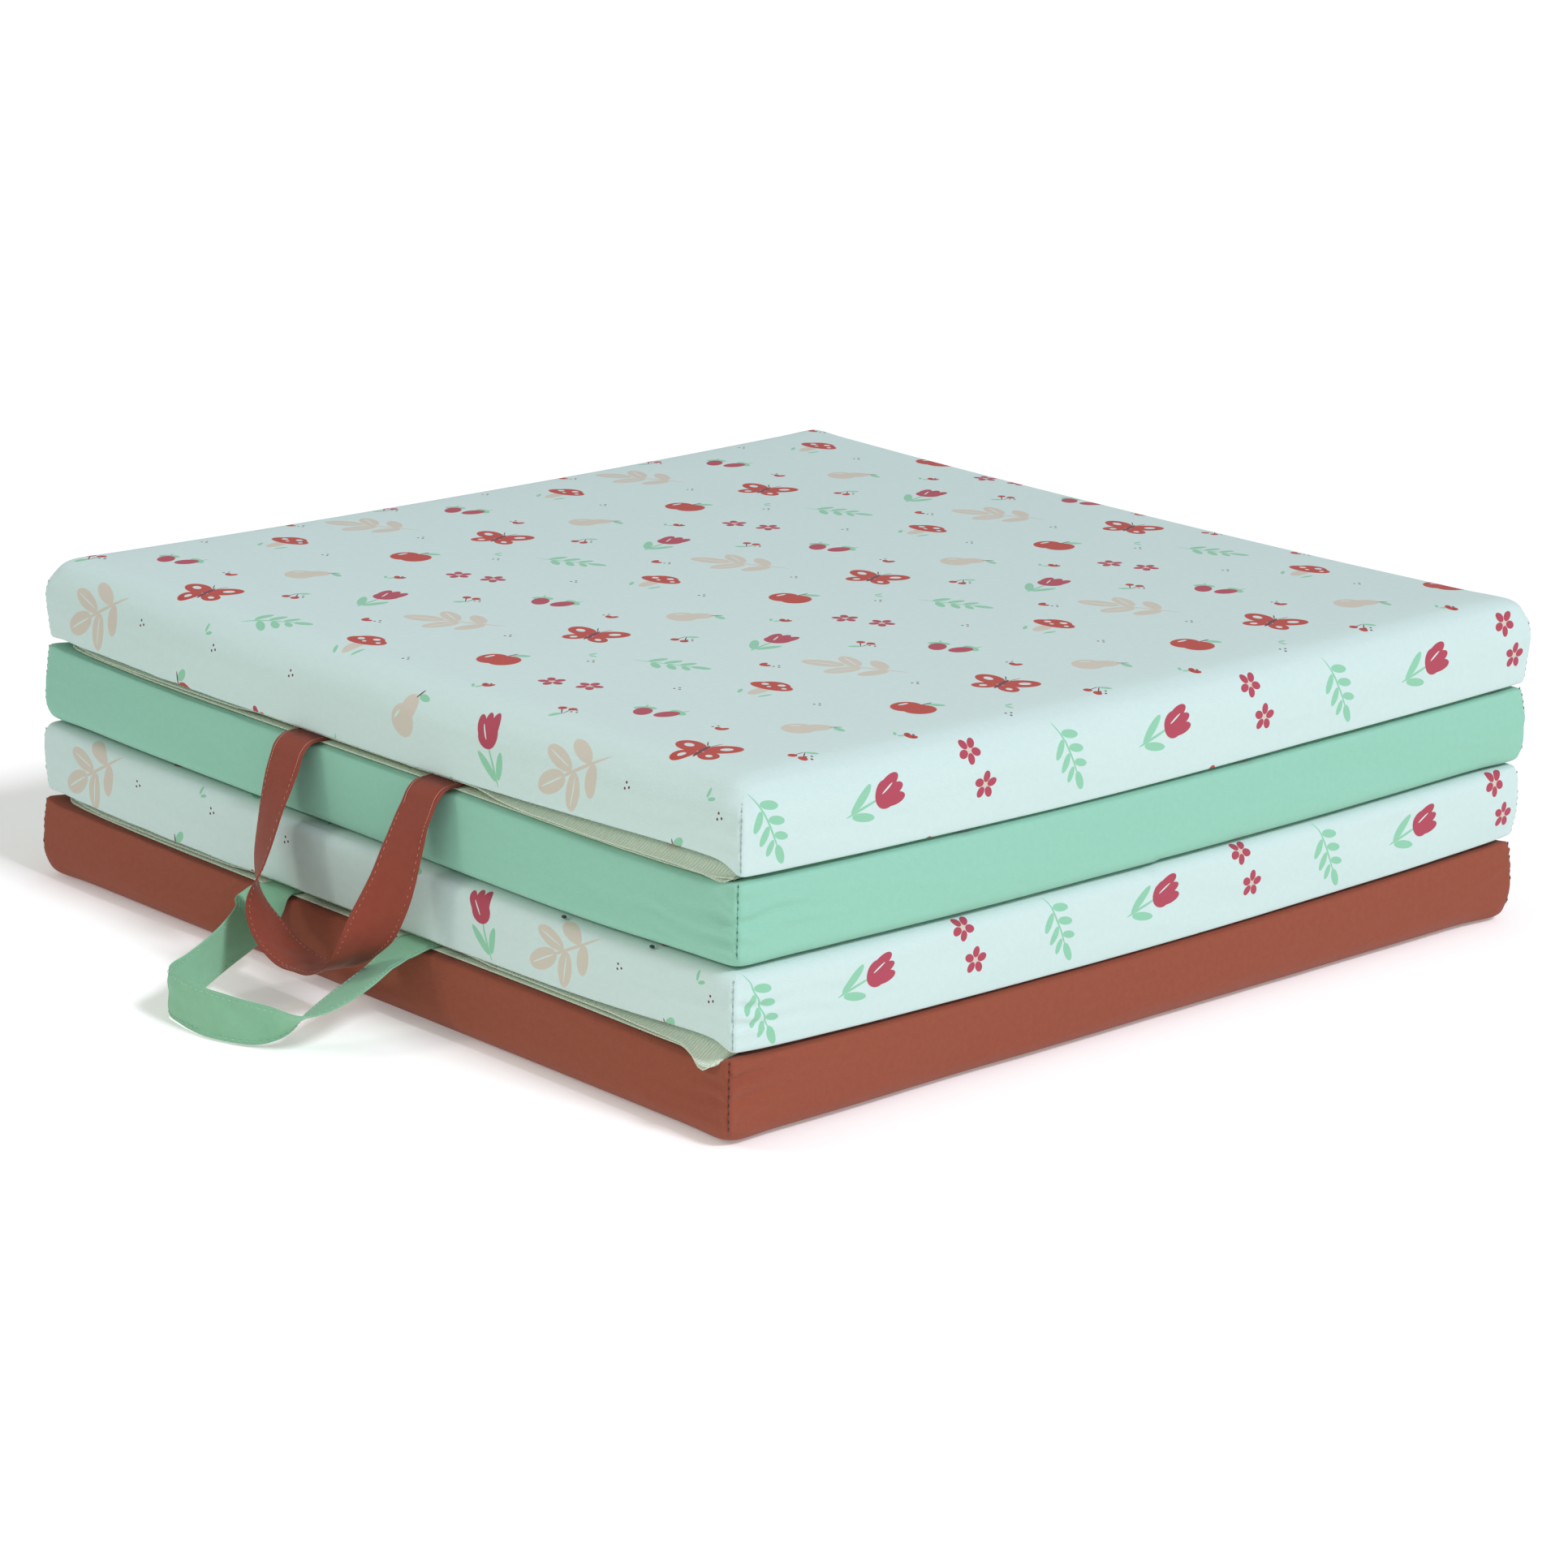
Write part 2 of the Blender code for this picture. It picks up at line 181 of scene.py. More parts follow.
for cover in covers.values():
    cut_edges(cover, is_long, cuts=3)
    cut_edges(cover, is_steep, cuts=1)
    cut_edges(cover, is_level_at_corner, cuts=1)
    print(cover.name, faces_of(cover))

# %% [markdown]
# The print and the weave must follow the cloth round the edges, as if the cover were laid out
# flat. A UV map does that: the middle of the panel keeps its own x and y, and each wall carries on
# outward by the way along the cloth, round the rounded edge and down the wall.

# %% Lay the cover out flat in a UV map
FACES_AWAY = -0.8


def along_wall(place, drop, rounding):
    """Way along the cloth from the panel's middle, past its rounded edge and down its wall."""
    start = HALF - rounding
    past = place - start
    if past <= 0:
        return place
    if drop >= rounding:
        return start + rounding * pi / 2 + drop - rounding
    return start + rounding * atan2(past, rounding - max(drop, 0.0))


def lay_out(piece, facts):
    """Writes the UV map of a panel's cover, in metres of cloth."""
    layer = piece.data.uv_layers.new(name="cloth")
    mesh = piece.data
    for face in mesh.polygons:
        centre = face.center - Vector((*facts["slip"], 0))
        wall_x = abs(centre.x) > abs(centre.y)
        hidden = face.normal.z * facts["sign"] < FACES_AWAY
        for loop in face.loop_indices:
            point = mesh.vertices[mesh.loops[loop].vertex_index].co
            x, y = point.x - facts["slip"][0], point.y - facts["slip"][1]
            drop = (facts["face"] - point.z) * facts["sign"]
            if hidden:
                layer.data[loop].uv = (x, y)
            elif wall_x:
                layer.data[loop].uv = (along_wall(abs(x), drop, facts["round"]) * (1 if x > 0 else -1), y)
            else:
                layer.data[loop].uv = (x, along_wall(abs(y), drop, facts["round"]) * (1 if y > 0 else -1))


for panel_name, cover in covers.items():
    lay_out(cover, PANELS[panel_name])
print("laid out", len(covers), "covers")

# %% [markdown]
# A tight cover is never quite flat. It is sewn at the four upright corners and along its open side,
# so the thread pulls small folds into it there, and the walls wave a little between the corners.
# The foam fills the cover, so a blown-up cloth would look wrong here: instead each point is moved by rules,
# as with a sculpting brush. A rule gets the point's place along the wall, its rise above the open side, and
# its way from the nearest corner.

# %% Where a point lies on its wall
CORNER_POWER = 60
CORNER_LIFT = 0.004
CORNER_LIFT_POWER = 2.5
DECAY = 2.718


def smooth_step(value):
    """0 below 0, 1 above 1, and a smooth ramp between."""
    value = min(max(value, 0.0), 1.0)
    return value * value * (3 - 2 * value)


def bell(value, middle, width):
    """1 at the middle, and 0 a few widths away."""
    return DECAY ** (-((value - middle) / width) ** 2)


def wall_place(x, y):
    """Outward direction, place along the wall and number of the wall, for a place in plan."""
    heavy_x = (abs(x) / HALF) ** CORNER_POWER * (1 if x > 0 else -1)
    heavy_y = (abs(y) / HALF) ** CORNER_POWER * (1 if y > 0 else -1)
    outward = Vector((heavy_x, heavy_y, 0)).normalized()
    if abs(x) > abs(y):
        return outward, y, 1 if x > 0 else 2
    return outward, x, 3 if y > 0 else 4


def corner_number(x, y):
    """1 front, 2 left, 3 right, 4 back, as the camera sees them."""
    if y < 0:
        return 1 if x > 0 else 2
    return 3 if x > 0 else 4


def corner_lift(x, y, z):
    """How much higher the corners of the stack stand than the middles of its edges."""
    toward = min(abs(x * y) / (HALF * HALF), 1.0) ** CORNER_LIFT_POWER
    return CORNER_LIFT * toward * smooth_step(z / PANELS["bottom_panel"]["high"])


print("top corners stand higher by", corner_lift(HALF, HALF, PANELS["top_panel"]["high"]))

# %% [markdown]
# The thread of a corner seam gathers the cloth into a few folds, which run out of the seam and
# fade along the wall. They are strongest at the front corner and on the right wall. A regular wave
# would look pressed by a machine, so its phase wanders with a noise, which is a smooth random
# value. The odd numbers given to a noise only pick another stretch of it for each wall.

# %% Folds that run out of the corner seams
FOLDS_PER_WALL = 4.2
FOLD_START = 0.005
FOLD_FADE = 0.034
FOLD_SLANT = 14
FOLD_WANDER = 0.9
FOLD_BAND = 0.30
FOLD_DEPTH = {"top_panel": 0.0008, "second_panel": 0.0022, "third_panel": 0.0014, "bottom_panel": 0.0020}
FOLD_PLACE = {"top_panel": 0.45, "second_panel": 0.50, "third_panel": 0.45, "bottom_panel": 0.28}
CORNER_SHARE = {1: 1.0, 2: 0.16, 3: 0.22, 4: 0.25}


def corner_folds(share, way, seed, depth, place):
    """Folds that the corner seam pulls into the wall, fading away from it."""
    wander = noise.noise(Vector((way * 25, seed * 3.7, share * 1.4)))
    slant = way * FOLD_SLANT * (0.4 + noise.noise(Vector((seed, 1, 2))))
    phase = share * FOLDS_PER_WALL + seed * 0.37 + slant + FOLD_WANDER * wander
    reach = DECAY ** (-way / FOLD_FADE) * smooth_step(way / FOLD_START)
    return depth * sin(2 * pi * phase) * (0.6 + wander) * reach * bell(share, place, FOLD_BAND)


print("deepest fold", max(FOLD_DEPTH.values()))

# %% [markdown]
# At the seam itself the two walls meet in a crisp edge with a ridge and a fine groove. Where the
# seam ends under the crown, the thread pinches the cloth in. Above it the foam fills the corner
# out again. These are three small moves, each with its own share at each of the four corners.

# %% Crisp corners, pinches and filled crowns
CRISP = {1: 0.65, 2: 0.30, 3: 0.35, 4: 0.40}
CRISP_RADIUS = 0.0085
CORNER_FILL = {1: 0.42, 2: 0.55, 3: 0.84, 4: 0.65}
FILL_REACH = 0.042
RIDGE_HIGH, RIDGE_WIDE = 0.0007, 0.0050
GROOVE_DEEP, GROOVE_WIDE = 0.0009, 0.0013
PINCH = {"top_panel": 0.0024, "second_panel": 0.0006, "third_panel": 0.0012, "bottom_panel": 0.0006}
PINCH_PLACE, PINCH_HIGH, PINCH_WIDE = 0.60, 0.0050, 0.007


def crisp_corner(x, y, share):
    """Pulls a rounded corner of the outline toward the sharp one, by a share."""
    over_x = abs(x) - (HALF - CRISP_RADIUS)
    over_y = abs(y) - (HALF - CRISP_RADIUS)
    if over_x <= 0 or over_y <= 0:
        return Vector((0, 0, 0))
    past = (over_x ** 2 + over_y ** 2) ** 0.5 / max(over_x, over_y) - 1
    grow = share * CRISP[corner_number(x, y)] * past
    return Vector((over_x * grow * (1 if x > 0 else -1), over_y * grow * (1 if y > 0 else -1), 0))


def fill_corner(x, y, rise, height, rounding):
    """Outward move that fills a crown's corner, where the sewn corner pushes the foam out."""
    climb = min(max((rise - (height - rounding)) / rounding, 0.0), 1.0)
    inset = rounding * (1 - (1 - climb ** 2) ** 0.5)
    near = (1 - smooth_step((HALF - abs(x)) / FILL_REACH)) * (1 - smooth_step((HALF - abs(y)) / FILL_REACH))
    grow = CORNER_FILL[corner_number(x, y)] * inset * near
    return Vector((grow if x > 0 else -grow, grow if y > 0 else -grow, 0))


def seam_move(across, rise, height, rounding, fade, pinch):
    """Ridge and groove of a corner seam and the pinch at its end, as a move outward."""
    ridge = RIDGE_HIGH * bell(across, 0, RIDGE_WIDE) - GROOVE_DEEP * bell(across, 0, GROOVE_WIDE)
    at_end = bell(rise, height - rounding * PINCH_PLACE, PINCH_HIGH) * bell(across, 0, PINCH_WIDE)
    return ridge * fade - pinch * at_end


print("deepest pinch", max(PINCH.values()))

# %% [markdown]
# A cover's sewn edge is loose along the open sides and hangs a little over the lining. On the
# handle side it hangs by a table measured along the side, on the hidden open sides it ripples, and
# on the hinge side it is sewn tight.

# %% How far a sewn edge hangs
EDGE_SAG = ((-0.302, 0.0002), (-0.285, 0.0008), (-0.265, 0.0026), (-0.200, 0.0030), (-0.120, 0.0025),
            (-0.095, 0.0006), (-0.035, 0.0004), (-0.020, 0.0010), (0.020, 0.0010), (0.030, 0.0004),
            (0.078, 0.0003), (0.100, 0.0006), (0.150, 0.0004), (0.200, 0.0), (0.302, 0.0))
HIDDEN_SAG = 0.0016
SAG_RISE = 0.016
SAG_INSET = 0.0042
SAG_FROM_CORNER = 0.04
RIPPLES = 46


def look_up(table, place):
    """The second value of a table, read between its rows by the first."""
    for low, high in zip(table, table[1:]):
        if place <= high[0]:
            share = max(0.0, (place - low[0]) / (high[0] - low[0]))
            return low[1] + share * (high[1] - low[1])
    return table[-1][1]


def edge_sag(x, y, rise, edge_way, number):
    """How far the sewn edge hangs over the lining, at a place near the open side."""
    near = (1 - smooth_step(rise / SAG_RISE)) * (1 - smooth_step(edge_way / SAG_INSET))
    ripple = 0.5 + 0.5 * noise.noise(Vector((x * RIPPLES + y * RIPPLES, number * 2.9, 7.7)))
    if y < 0 and abs(y) > abs(x):
        return near * look_up(EDGE_SAG, x) * (0.55 + 0.9 * ripple)
    if x > 0 and abs(x) > abs(y):
        return 0.0
    along = x if abs(y) > abs(x) else y
    from_corner = smooth_step((HALF - abs(along)) / SAG_FROM_CORNER)
    return near * HIDDEN_SAG * (0.4 + 0.9 * ripple) * from_corner


print("deepest sag", max(sag for place, sag in EDGE_SAG))

# %% [markdown]
# Between its corners a wall has long waves, soft waves and a fine unrest, each a noise of its own
# size. The right wall is the softest. The rates say how fast a noise changes along the wall and up
# the wall.

# %% Waves of a wall
LONG_WAVE, LONG_RATE = 0.0012, 9
SOFT_WAVE, RIGHT_SOFT_WAVE, SOFT_RATE, SOFT_RISE_RATE = 0.0010, 0.0014, 16, 55
FINE_WAVE, FINE_RATE, FINE_RISE_RATE = 0.00030, 50, 170
WAVE_START = 0.03


def wall_waves(along, rise, share, corner_way, wall, seed):
    """Long, soft and fine waves of a wall between its corners, as a move outward."""
    long_wave = LONG_WAVE * noise.noise(Vector((along * LONG_RATE, seed, 0.5)))
    long_wave *= smooth_step(corner_way / WAVE_START)
    soft = RIGHT_SOFT_WAVE if wall == 1 else SOFT_WAVE
    soft *= noise.noise(Vector((along * SOFT_RATE, rise * SOFT_RISE_RATE, seed)))
    fine = FINE_WAVE * noise.noise(Vector((along * FINE_RATE, rise * FINE_RISE_RATE, seed + 9)))
    return long_wave * bell(share, 0.6, 0.6) + soft * bell(share, 0.5, 0.4) + fine * bell(share, 0.5, 0.45)


print("deepest wave", max(LONG_WAVE, SOFT_WAVE, RIGHT_SOFT_WAVE, FINE_WAVE))

# %% [markdown]
# Now every point of a cover is moved once by all the rules. The joint between panels 2 and 3 also
# hangs lowest on the handle side between the right end of the handle and the front corner.

# %% Soften and wrinkle the covers
EDGE_BAND = 0.03
WALL_BAND, WALL_FADE = 0.014, 0.010
TOP_WAVE, TOP_RATE = 0.0005, 11
RIGHT_WALL_FOLDS = 1.6
SEAM_REACH, SEAM_TOP = 0.020, 0.95
SEAM_END, SEAM_FADE = 1.1, 0.95
JOINT_SAG, JOINT_SAG_X, JOINT_SAG_WIDE = 0.0026, 0.170, 0.11


def soften(piece, panel_name, facts, number):
    """Waves, folds, corner seams and a soft face on one cover."""
    height, rounding, sign, base = (facts[fact] for fact in ("height", "round", "sign", "base"))
    for vert in piece.data.vertices:
        x, y = vert.co.x - facts["slip"][0], vert.co.y - facts["slip"][1]
        edge_way = HALF - max(abs(x), abs(y))
        rise = (vert.co.z - corner_lift(x, y, vert.co.z) - base) * sign
        vert.co += fill_corner(x, y, rise, height, rounding)
        if edge_way > EDGE_BAND:
            if panel_name == "top_panel" and rise > height / 2:
                vert.co.z += TOP_WAVE * noise.noise(Vector((x * TOP_RATE, y * TOP_RATE, 2.2)))
            continue
        outward, along, wall = wall_place(x, y)
        share = min(max(rise / height, 0), 1)
        corner_way = HALF - abs(along)
        corner = corner_number(x, y)
        depth = FOLD_DEPTH[panel_name] * CORNER_SHARE[corner] * (RIGHT_WALL_FOLDS if wall == 1 else 1.0)
        folds = corner_folds(rise / height, corner_way, corner + number * 4 + wall, depth,
                             FOLD_PLACE[panel_name])
        waves = wall_waves(along, rise, share, corner_way, wall, number * 5.3 + wall * 1.9)
        move = (waves + folds) * smooth_step((WALL_BAND - edge_way) / WALL_FADE)
        if corner_way < SEAM_REACH and share < SEAM_TOP:
            fade = 1 - smooth_step((rise - (height - rounding * SEAM_END)) / (rounding * SEAM_FADE))
            vert.co += crisp_corner(x, y, fade)
            move += seam_move(abs(abs(x) - abs(y)), rise, height, rounding, fade,
                              PINCH[panel_name] * CORNER_SHARE[corner])
        vert.co += outward * move
        vert.co.z -= sign * edge_sag(x, y, rise, edge_way, number)
        if y < 0 and panel_name in ("second_panel", "third_panel"):
            near_joint = smooth_step(share * 1.3 - 0.3) * (1 - smooth_step(edge_way / EDGE_BAND))
            vert.co.z -= JOINT_SAG * bell(x, JOINT_SAG_X, JOINT_SAG_WIDE) * near_joint


for number, (panel_name, facts) in enumerate(PANELS.items(), 1):
    soften(covers[panel_name], panel_name, facts, number)
print("softened", len(covers), "covers")

# %% [markdown]
# The base cloths line the inside of each pair, and only their edges show in the gaps. They are
# thin sheets folded once at the hinge. A copy of each solid keeps the fold and the lips, and one
# subdivision rounds it. The UV map is simply x and y, so the ribs run inward from the handle side.

# %% Base cloths
FRINGE = -0.262
FRINGE_EDGE = 0.0012
LINING_LEVELS = 1


def is_long_in_fringe(way, middle):
    """True for a long edge that runs along the handle side."""
    return middle.y < FRINGE and abs(way.x) > LONG_EDGE


def is_deep_in_fringe(way, middle):
    """True for an edge that runs inward from the handle side."""
    return middle.y < FRINGE and abs(way.y) > FRINGE_EDGE


base_cloths = {}
for part_name in ("upper_base_cloth", "lower_base_cloth"):
    base = soft_copy(part_name, part_name.replace("base_cloth", "lining"), LINING_LEVELS)
    cut_edges(base, is_long_in_fringe, cuts=5)
    cut_edges(base, is_deep_in_fringe, cuts=2)
    layer = base.data.uv_layers.new(name="cloth")
    for loop in base.data.loops:
        layer.data[loop.index].uv = base.data.vertices[loop.vertex_index].co.xy
    base_cloths[part_name] = base
    print(base.name, faces_of(base))

# %% [markdown]
# Along the handle side the upper leg of each lining isn't held. Its edge droops onto the lower
# leg and out to the panel's edge, which shows the ribs as a pale band in the gap. At the front
# corner of the lower pair it hangs out as a tip over the rust cover. The points near that edge
# are moved down and outward, by a table of sizes measured along the side.

# %% Let the edge of the linings droop
EDGE_INSET = 0.0059
DROOP_REACH, DROOP_OUT, DROOP_FULL = 0.009, 0.0033, 0.0045
TIP_X, TIP_OUT, TIP_DOWN = 0.289, 0.0086, 0.0046
TIP_LEFT, TIP_RIGHT, TIP_INWARD = 0.032, 0.010, 0.008
TIP_LEVEL, TIP_FADE = 0.0500, 0.003
SLOT_LEVELS = {"upper_base_cloth": 0.1356, "lower_base_cloth": 0.0449}
SLIPS = {"upper_base_cloth": 0.007, "lower_base_cloth": 0.0025}
DROP_PLACES = (-0.292, -0.283, -0.250, -0.125, -0.105, 0.085, 0.105, 0.130, 0.205, 0.245, 0.283, 0.294)
DROPS = {
    "upper_base_cloth": (0.0, 0.0012, 0.0026, 0.0015, 0.0, 0.0, 0.0024, 0.0040, 0.0070, 0.0073, 0.0082, 0.0),
    "lower_base_cloth": (0.0, 0.0018, 0.0027, 0.0015, 0.0, 0.0, 0.0012, 0.0013, 0.0025, 0.0052, 0.0082, 0.0),
}


def tip_share(x, z, from_edge):
    """1 at the tip of the lower lining, and 0 away from it."""
    near = smooth_step(1 - abs(x - TIP_X) / (TIP_LEFT if x < TIP_X else TIP_RIGHT))
    return near * smooth_step(1 - from_edge / TIP_INWARD) * smooth_step((TIP_LEVEL - z) / TIP_FADE)


def droop(piece, slot_level, slip, drops, has_tip):
    """Lets the upper leg of a lining hang down and out along the handle side."""
    table = tuple(zip(DROP_PLACES, drops))
    for vert in piece.data.vertices:
        x, y, z = vert.co
        from_edge = y - (slip - HALF + EDGE_INSET)
        drop = look_up(table, x)
        if z - corner_lift(x, y, z) > slot_level and drop > 0:
            near_edge = smooth_step(1 - from_edge / DROOP_REACH)
            ripple = 0.85 + 0.3 * noise.noise(Vector((x * 30, slot_level * 50, 1.3)))
            vert.co.z -= drop * near_edge
            vert.co.y -= DROOP_OUT * near_edge * smooth_step(drop / DROOP_FULL) * ripple
        if has_tip:
            vert.co += Vector((0, -TIP_OUT, -TIP_DOWN)) * tip_share(x, vert.co.z, from_edge)


for part_name, base in base_cloths.items():
    droop(base, SLOT_LEVELS[part_name], SLIPS[part_name], DROPS[part_name], part_name == "lower_base_cloth")
    print(base.name, "droops", max(DROPS[part_name]))

# %% [markdown]
# A strap is a folded band of cotton, sewn in between two panels at both ends. It could be a curve
# with a flat section, but a curve turns its section where it likes. So its path is a row of
# places fitted to the photo, in millimetres, each with the direction of the strap's width. The rust
# strap hangs from its slot, so its heights count from there and its widths are turns in degrees.
# The mint strap lies on the floor with a twist, and its widths are directions.

# %% Paths of the two handles
UPPER_SLOT = SLOT_LEVELS["upper_base_cloth"]
UPPER_PATH = (
    (-56, -262, 0, 0), (-56, -277, 0, 0), (-56, -292, 0, 0), (-56, -299, -1.2, 0), (-56, -304, -5.6, 0),
    (-56, -307, -12, 0), (-56, -311, -22, -3), (-57, -316.5, -40, -12), (-57.5, -322.5, -63, -24),
    (-55, -327, -79, -42), (-46.5, -330, -91.5, -64), (-33.5, -331.5, -101.5, -80),
    (-17, -332, -107.5, -88), (1, -332.5, -108.5, -90), (18, -333, -106, -92), (32.5, -333, -98, -100),
    (43, -331.5, -86.5, -116), (50.5, -328, -72.5, -138), (56, -322.5, -55, -153),
    (58.5, -316.5, -35, -167), (59.5, -311, -20, -177), (60, -307, -12, -180), (60, -304, -5.6, -180),
    (60, -299, -1.2, -180), (60, -292, 0, -180), (60, -277, 0, -180), (60, -262, 0, -180),
)
LOWER_PATH = (
    (-75.5, -262, 44.9, -1, 0, 0), (-75.5, -279, 44.9, -1, 0, 0), (-75.5, -292, 44.9, -1, 0, 0),
    (-75.5, -298.5, 44.8, -1, 0, 0), (-75, -306, 42.5, -0.96, 0, 0.28), (-72.5, -314, 37.5, -0.72, 0, 0.70),
    (-68.5, -324, 31.2, -0.28, 0, 0.96), (-62, -344, 24, 0, 0, 1), (-52, -374, 16.8, 0, 0, 1),
    (-47, -389, 14.6, 0, 0, 1), (-41, -395.5, 14.2, 0, 0, 1), (-26, -398.5, 14, 0, 0, 1),
    (-4, -399, 14, 0.05, 0, 1), (17, -395, 14.2, 0.30, 0, 0.95), (34, -387, 15, 0.65, 0.05, 0.75),
    (45.5, -375, 17.2, 0.85, 0.08, 0.50), (48.5, -360, 21.5, 0.93, 0.08, 0.33),
    (46, -344, 25.5, 0.96, 0.08, 0.24), (43, -329, 30, 0.96, 0.06, 0.24), (42, -317, 34.8, 0.96, 0, 0.26),
    (44, -307.5, 40.8, 0.99, 0, 0.12), (46.5, -299.5, 44.7, 1, 0, 0), (47, -292, 44.9, 1, 0, 0),
    (47, -279, 44.9, 1, 0, 0), (47, -262, 44.9, 1, 0, 0),
)
upper_centres = [Vector((x / 1000, y / 1000, UPPER_SLOT + z / 1000)) for x, y, z, turn in UPPER_PATH]
upper_widths = [Vector((cos(radians(turn)), sin(radians(turn)), 0)) for x, y, z, turn in UPPER_PATH]
lower_centres = [Vector((x / 1000, y / 1000, z / 1000)) for x, y, z, *width in LOWER_PATH]
lower_widths = [Vector(width).normalized() for x, y, z, *width in LOWER_PATH]
print("places on the paths", len(UPPER_PATH), len(LOWER_PATH))

# %% [markdown]
# A smooth curve through the places is worked out by a cubic between each two of them, which also
# looks at the place before and the place after. The same curve gives the width's direction. The
# length along it is the length of the strap when it is laid flat.

# %% Follow a path smoothly
WAY_STEP = 0.002


def between(points, share):
    """A smooth curve through points: the point at a share of its way."""
    place = share * (len(points) - 1)
    index = min(int(place), len(points) - 2)
    part = place - index
    before = points[max(index - 1, 0)]
    start = points[index]
    end = points[index + 1]
    after = points[min(index + 2, len(points) - 1)]
    return 0.5 * ((2 * start) + (end - before) * part
                  + (2 * before - 5 * start + 4 * end - after) * part ** 2
                  + (3 * start - before - 3 * end + after) * part ** 3)


def strap_frame(centres, widths, share):
    """Centre, width direction, face direction and way of a strap, at a share of its way."""
    centre = between(centres, share)
    ahead = between(centres, min(share + WAY_STEP, 1))
    way = (ahead - between(centres, max(share - WAY_STEP, 0))).normalized()
    across = between(widths, share)
    across = (across - across.dot(way) * way).normalized()
    return centre, across, way.cross(across), way


def path_length(centres, steps=400):
    """Real length of a path."""
    points = [between(centres, step / steps) for step in range(steps + 1)]
    return sum((end - start).length for start, end in zip(points, points[1:]))


# %% [markdown]
# A strap's section is flat and slightly puffed: full in the middle, drawn in at the topstitching
# and rounded at the hems. One flat grid makes it: its long side follows the path, and its short
# side is rolled up round the section, so that its two edges meet and are merged.

# %% Build a strap as a flat tube
STRAP_WIDTH = 0.027
STATIONS, RING = 260, 28
HALF_THICK = 0.0007
HEM_ROUND = 0.35
HEM_STITCH = 0.0024
GROOVE_SHARE, GROOVE_REACH = 0.35, 0.0012
SLACK, LOOP_SLACK, LOOP_REACH = 0.0004, 0.0012, 0.12
EDGE_WAVE = 0.0005


def strap_section(turn):
    """Place across the strap, -1 to 1, and half thickness, at an angle round its section."""
    across = cos(turn)
    side = abs(sin(turn)) ** HEM_ROUND * (1 if sin(turn) >= 0 else -1)
    from_edge = (1 - abs(across)) * STRAP_WIDTH / 2
    groove = 1 - GROOVE_SHARE * max(0.0, 1 - abs(from_edge - HEM_STITCH) / GROOVE_REACH)
    return across, side * HALF_THICK * groove


def make_strap(name, centres, widths, seed):
    """A strap along a path, with soft creases."""
    bpy.ops.object.select_all(action="DESELECT")
    bpy.ops.mesh.primitive_grid_add(x_subdivisions=STATIONS, y_subdivisions=RING, size=2)
    piece = bpy.context.object
    piece.name = name
    layer = piece.data.uv_layers[0]
    layer.name = "cloth"
    length = path_length(centres)
    mesh = piece.data
    for loop in mesh.loops:
        place = mesh.vertices[loop.vertex_index].co
        layer.data[loop.index].uv = ((place.x + 1) / 2 * length, place.y * STRAP_WIDTH)
    for vert in mesh.vertices:
        share = (vert.co.x + 1) / 2
        across, depth = strap_section((vert.co.y + 1) * pi)
        centre, width, face, way = strap_frame(centres, widths, share)
        slack = SLACK + LOOP_SLACK * bell(share, 0.5, LOOP_REACH)
        crease = slack * noise.noise(Vector((share * length * 70, across * 1.6, seed)))
        edge_wave = EDGE_WAVE * noise.noise(Vector((share * length * 45, seed, 3.1))) * across ** 2
        vert.co = centre + width * (across * STRAP_WIDTH / 2) + face * (depth + crease + edge_wave)
    pick(piece)
    bpy.ops.object.mode_set(mode="EDIT")
    bpy.ops.mesh.select_all(action="SELECT")
    bpy.ops.mesh.remove_doubles(threshold=MERGE_REACH)
    bpy.ops.mesh.fill_holes(sides=0)
    bpy.ops.mesh.normals_make_consistent(inside=False)
    bpy.ops.object.mode_set(mode="OBJECT")
    bpy.ops.object.shade_smooth()
    return piece


STRAPS = {
    "upper_handle": ("rust_strap", upper_centres, upper_widths, 1.7),
    "lower_handle": ("mint_strap", lower_centres, lower_widths, 5.3),
}
handles = {part_name: make_strap(*facts) for part_name, facts in STRAPS.items()}
print("straps", [faces_of(piece) for piece in handles.values()])

# %% [markdown]
# Stitches show as short dashes of thread. They could be a picture of dashes, but real geometry stays sharp
# and casts its own shadow. One dash is a small stretched ball with few faces. It is copied to every place of
# a seam and turned along it, and the copies are joined. The same dashes, in dark colours, also paint the
# shade down the corner creases and in two spots of the joint.

# %% One dash and its copies, for stitches and painted shade
def make_dash():
    """One dash, 1 long, 1 wide and 1 thick, used for stitches and for painted shade."""
    bpy.ops.object.select_all(action="DESELECT")
    bpy.ops.mesh.primitive_ico_sphere_add(subdivisions=1, radius=0.5)
    dash = bpy.context.object
    bpy.ops.object.shade_smooth()
    return dash


def lay_stitch_and_shade_dashes(name, places, size):
    """Copies the dash to each (point, way, outward) and joins the copies."""
    dash = make_dash()
    copies = []
    for point, way, outward in places:
        way = way.normalized()
        side = outward.cross(way).normalized()
        turn = Matrix((way * size[0], side * size[1], way.cross(side) * size[2])).transposed()
        copy = add_object(name, dash.data.copy())
        copy.data.transform(Matrix.Translation(point) @ turn.to_4x4())
        copies.append(copy)
    bpy.data.objects.remove(dash)
    bpy.ops.object.select_all(action="DESELECT")
    for copy in copies:
        copy.select_set(True)
    bpy.context.view_layer.objects.active = copies[0]
    bpy.ops.object.join()
    copies[0].name = name
    return copies[0]


sample = make_dash()
print("faces of one stitch", faces_of(sample))
bpy.data.objects.remove(sample)
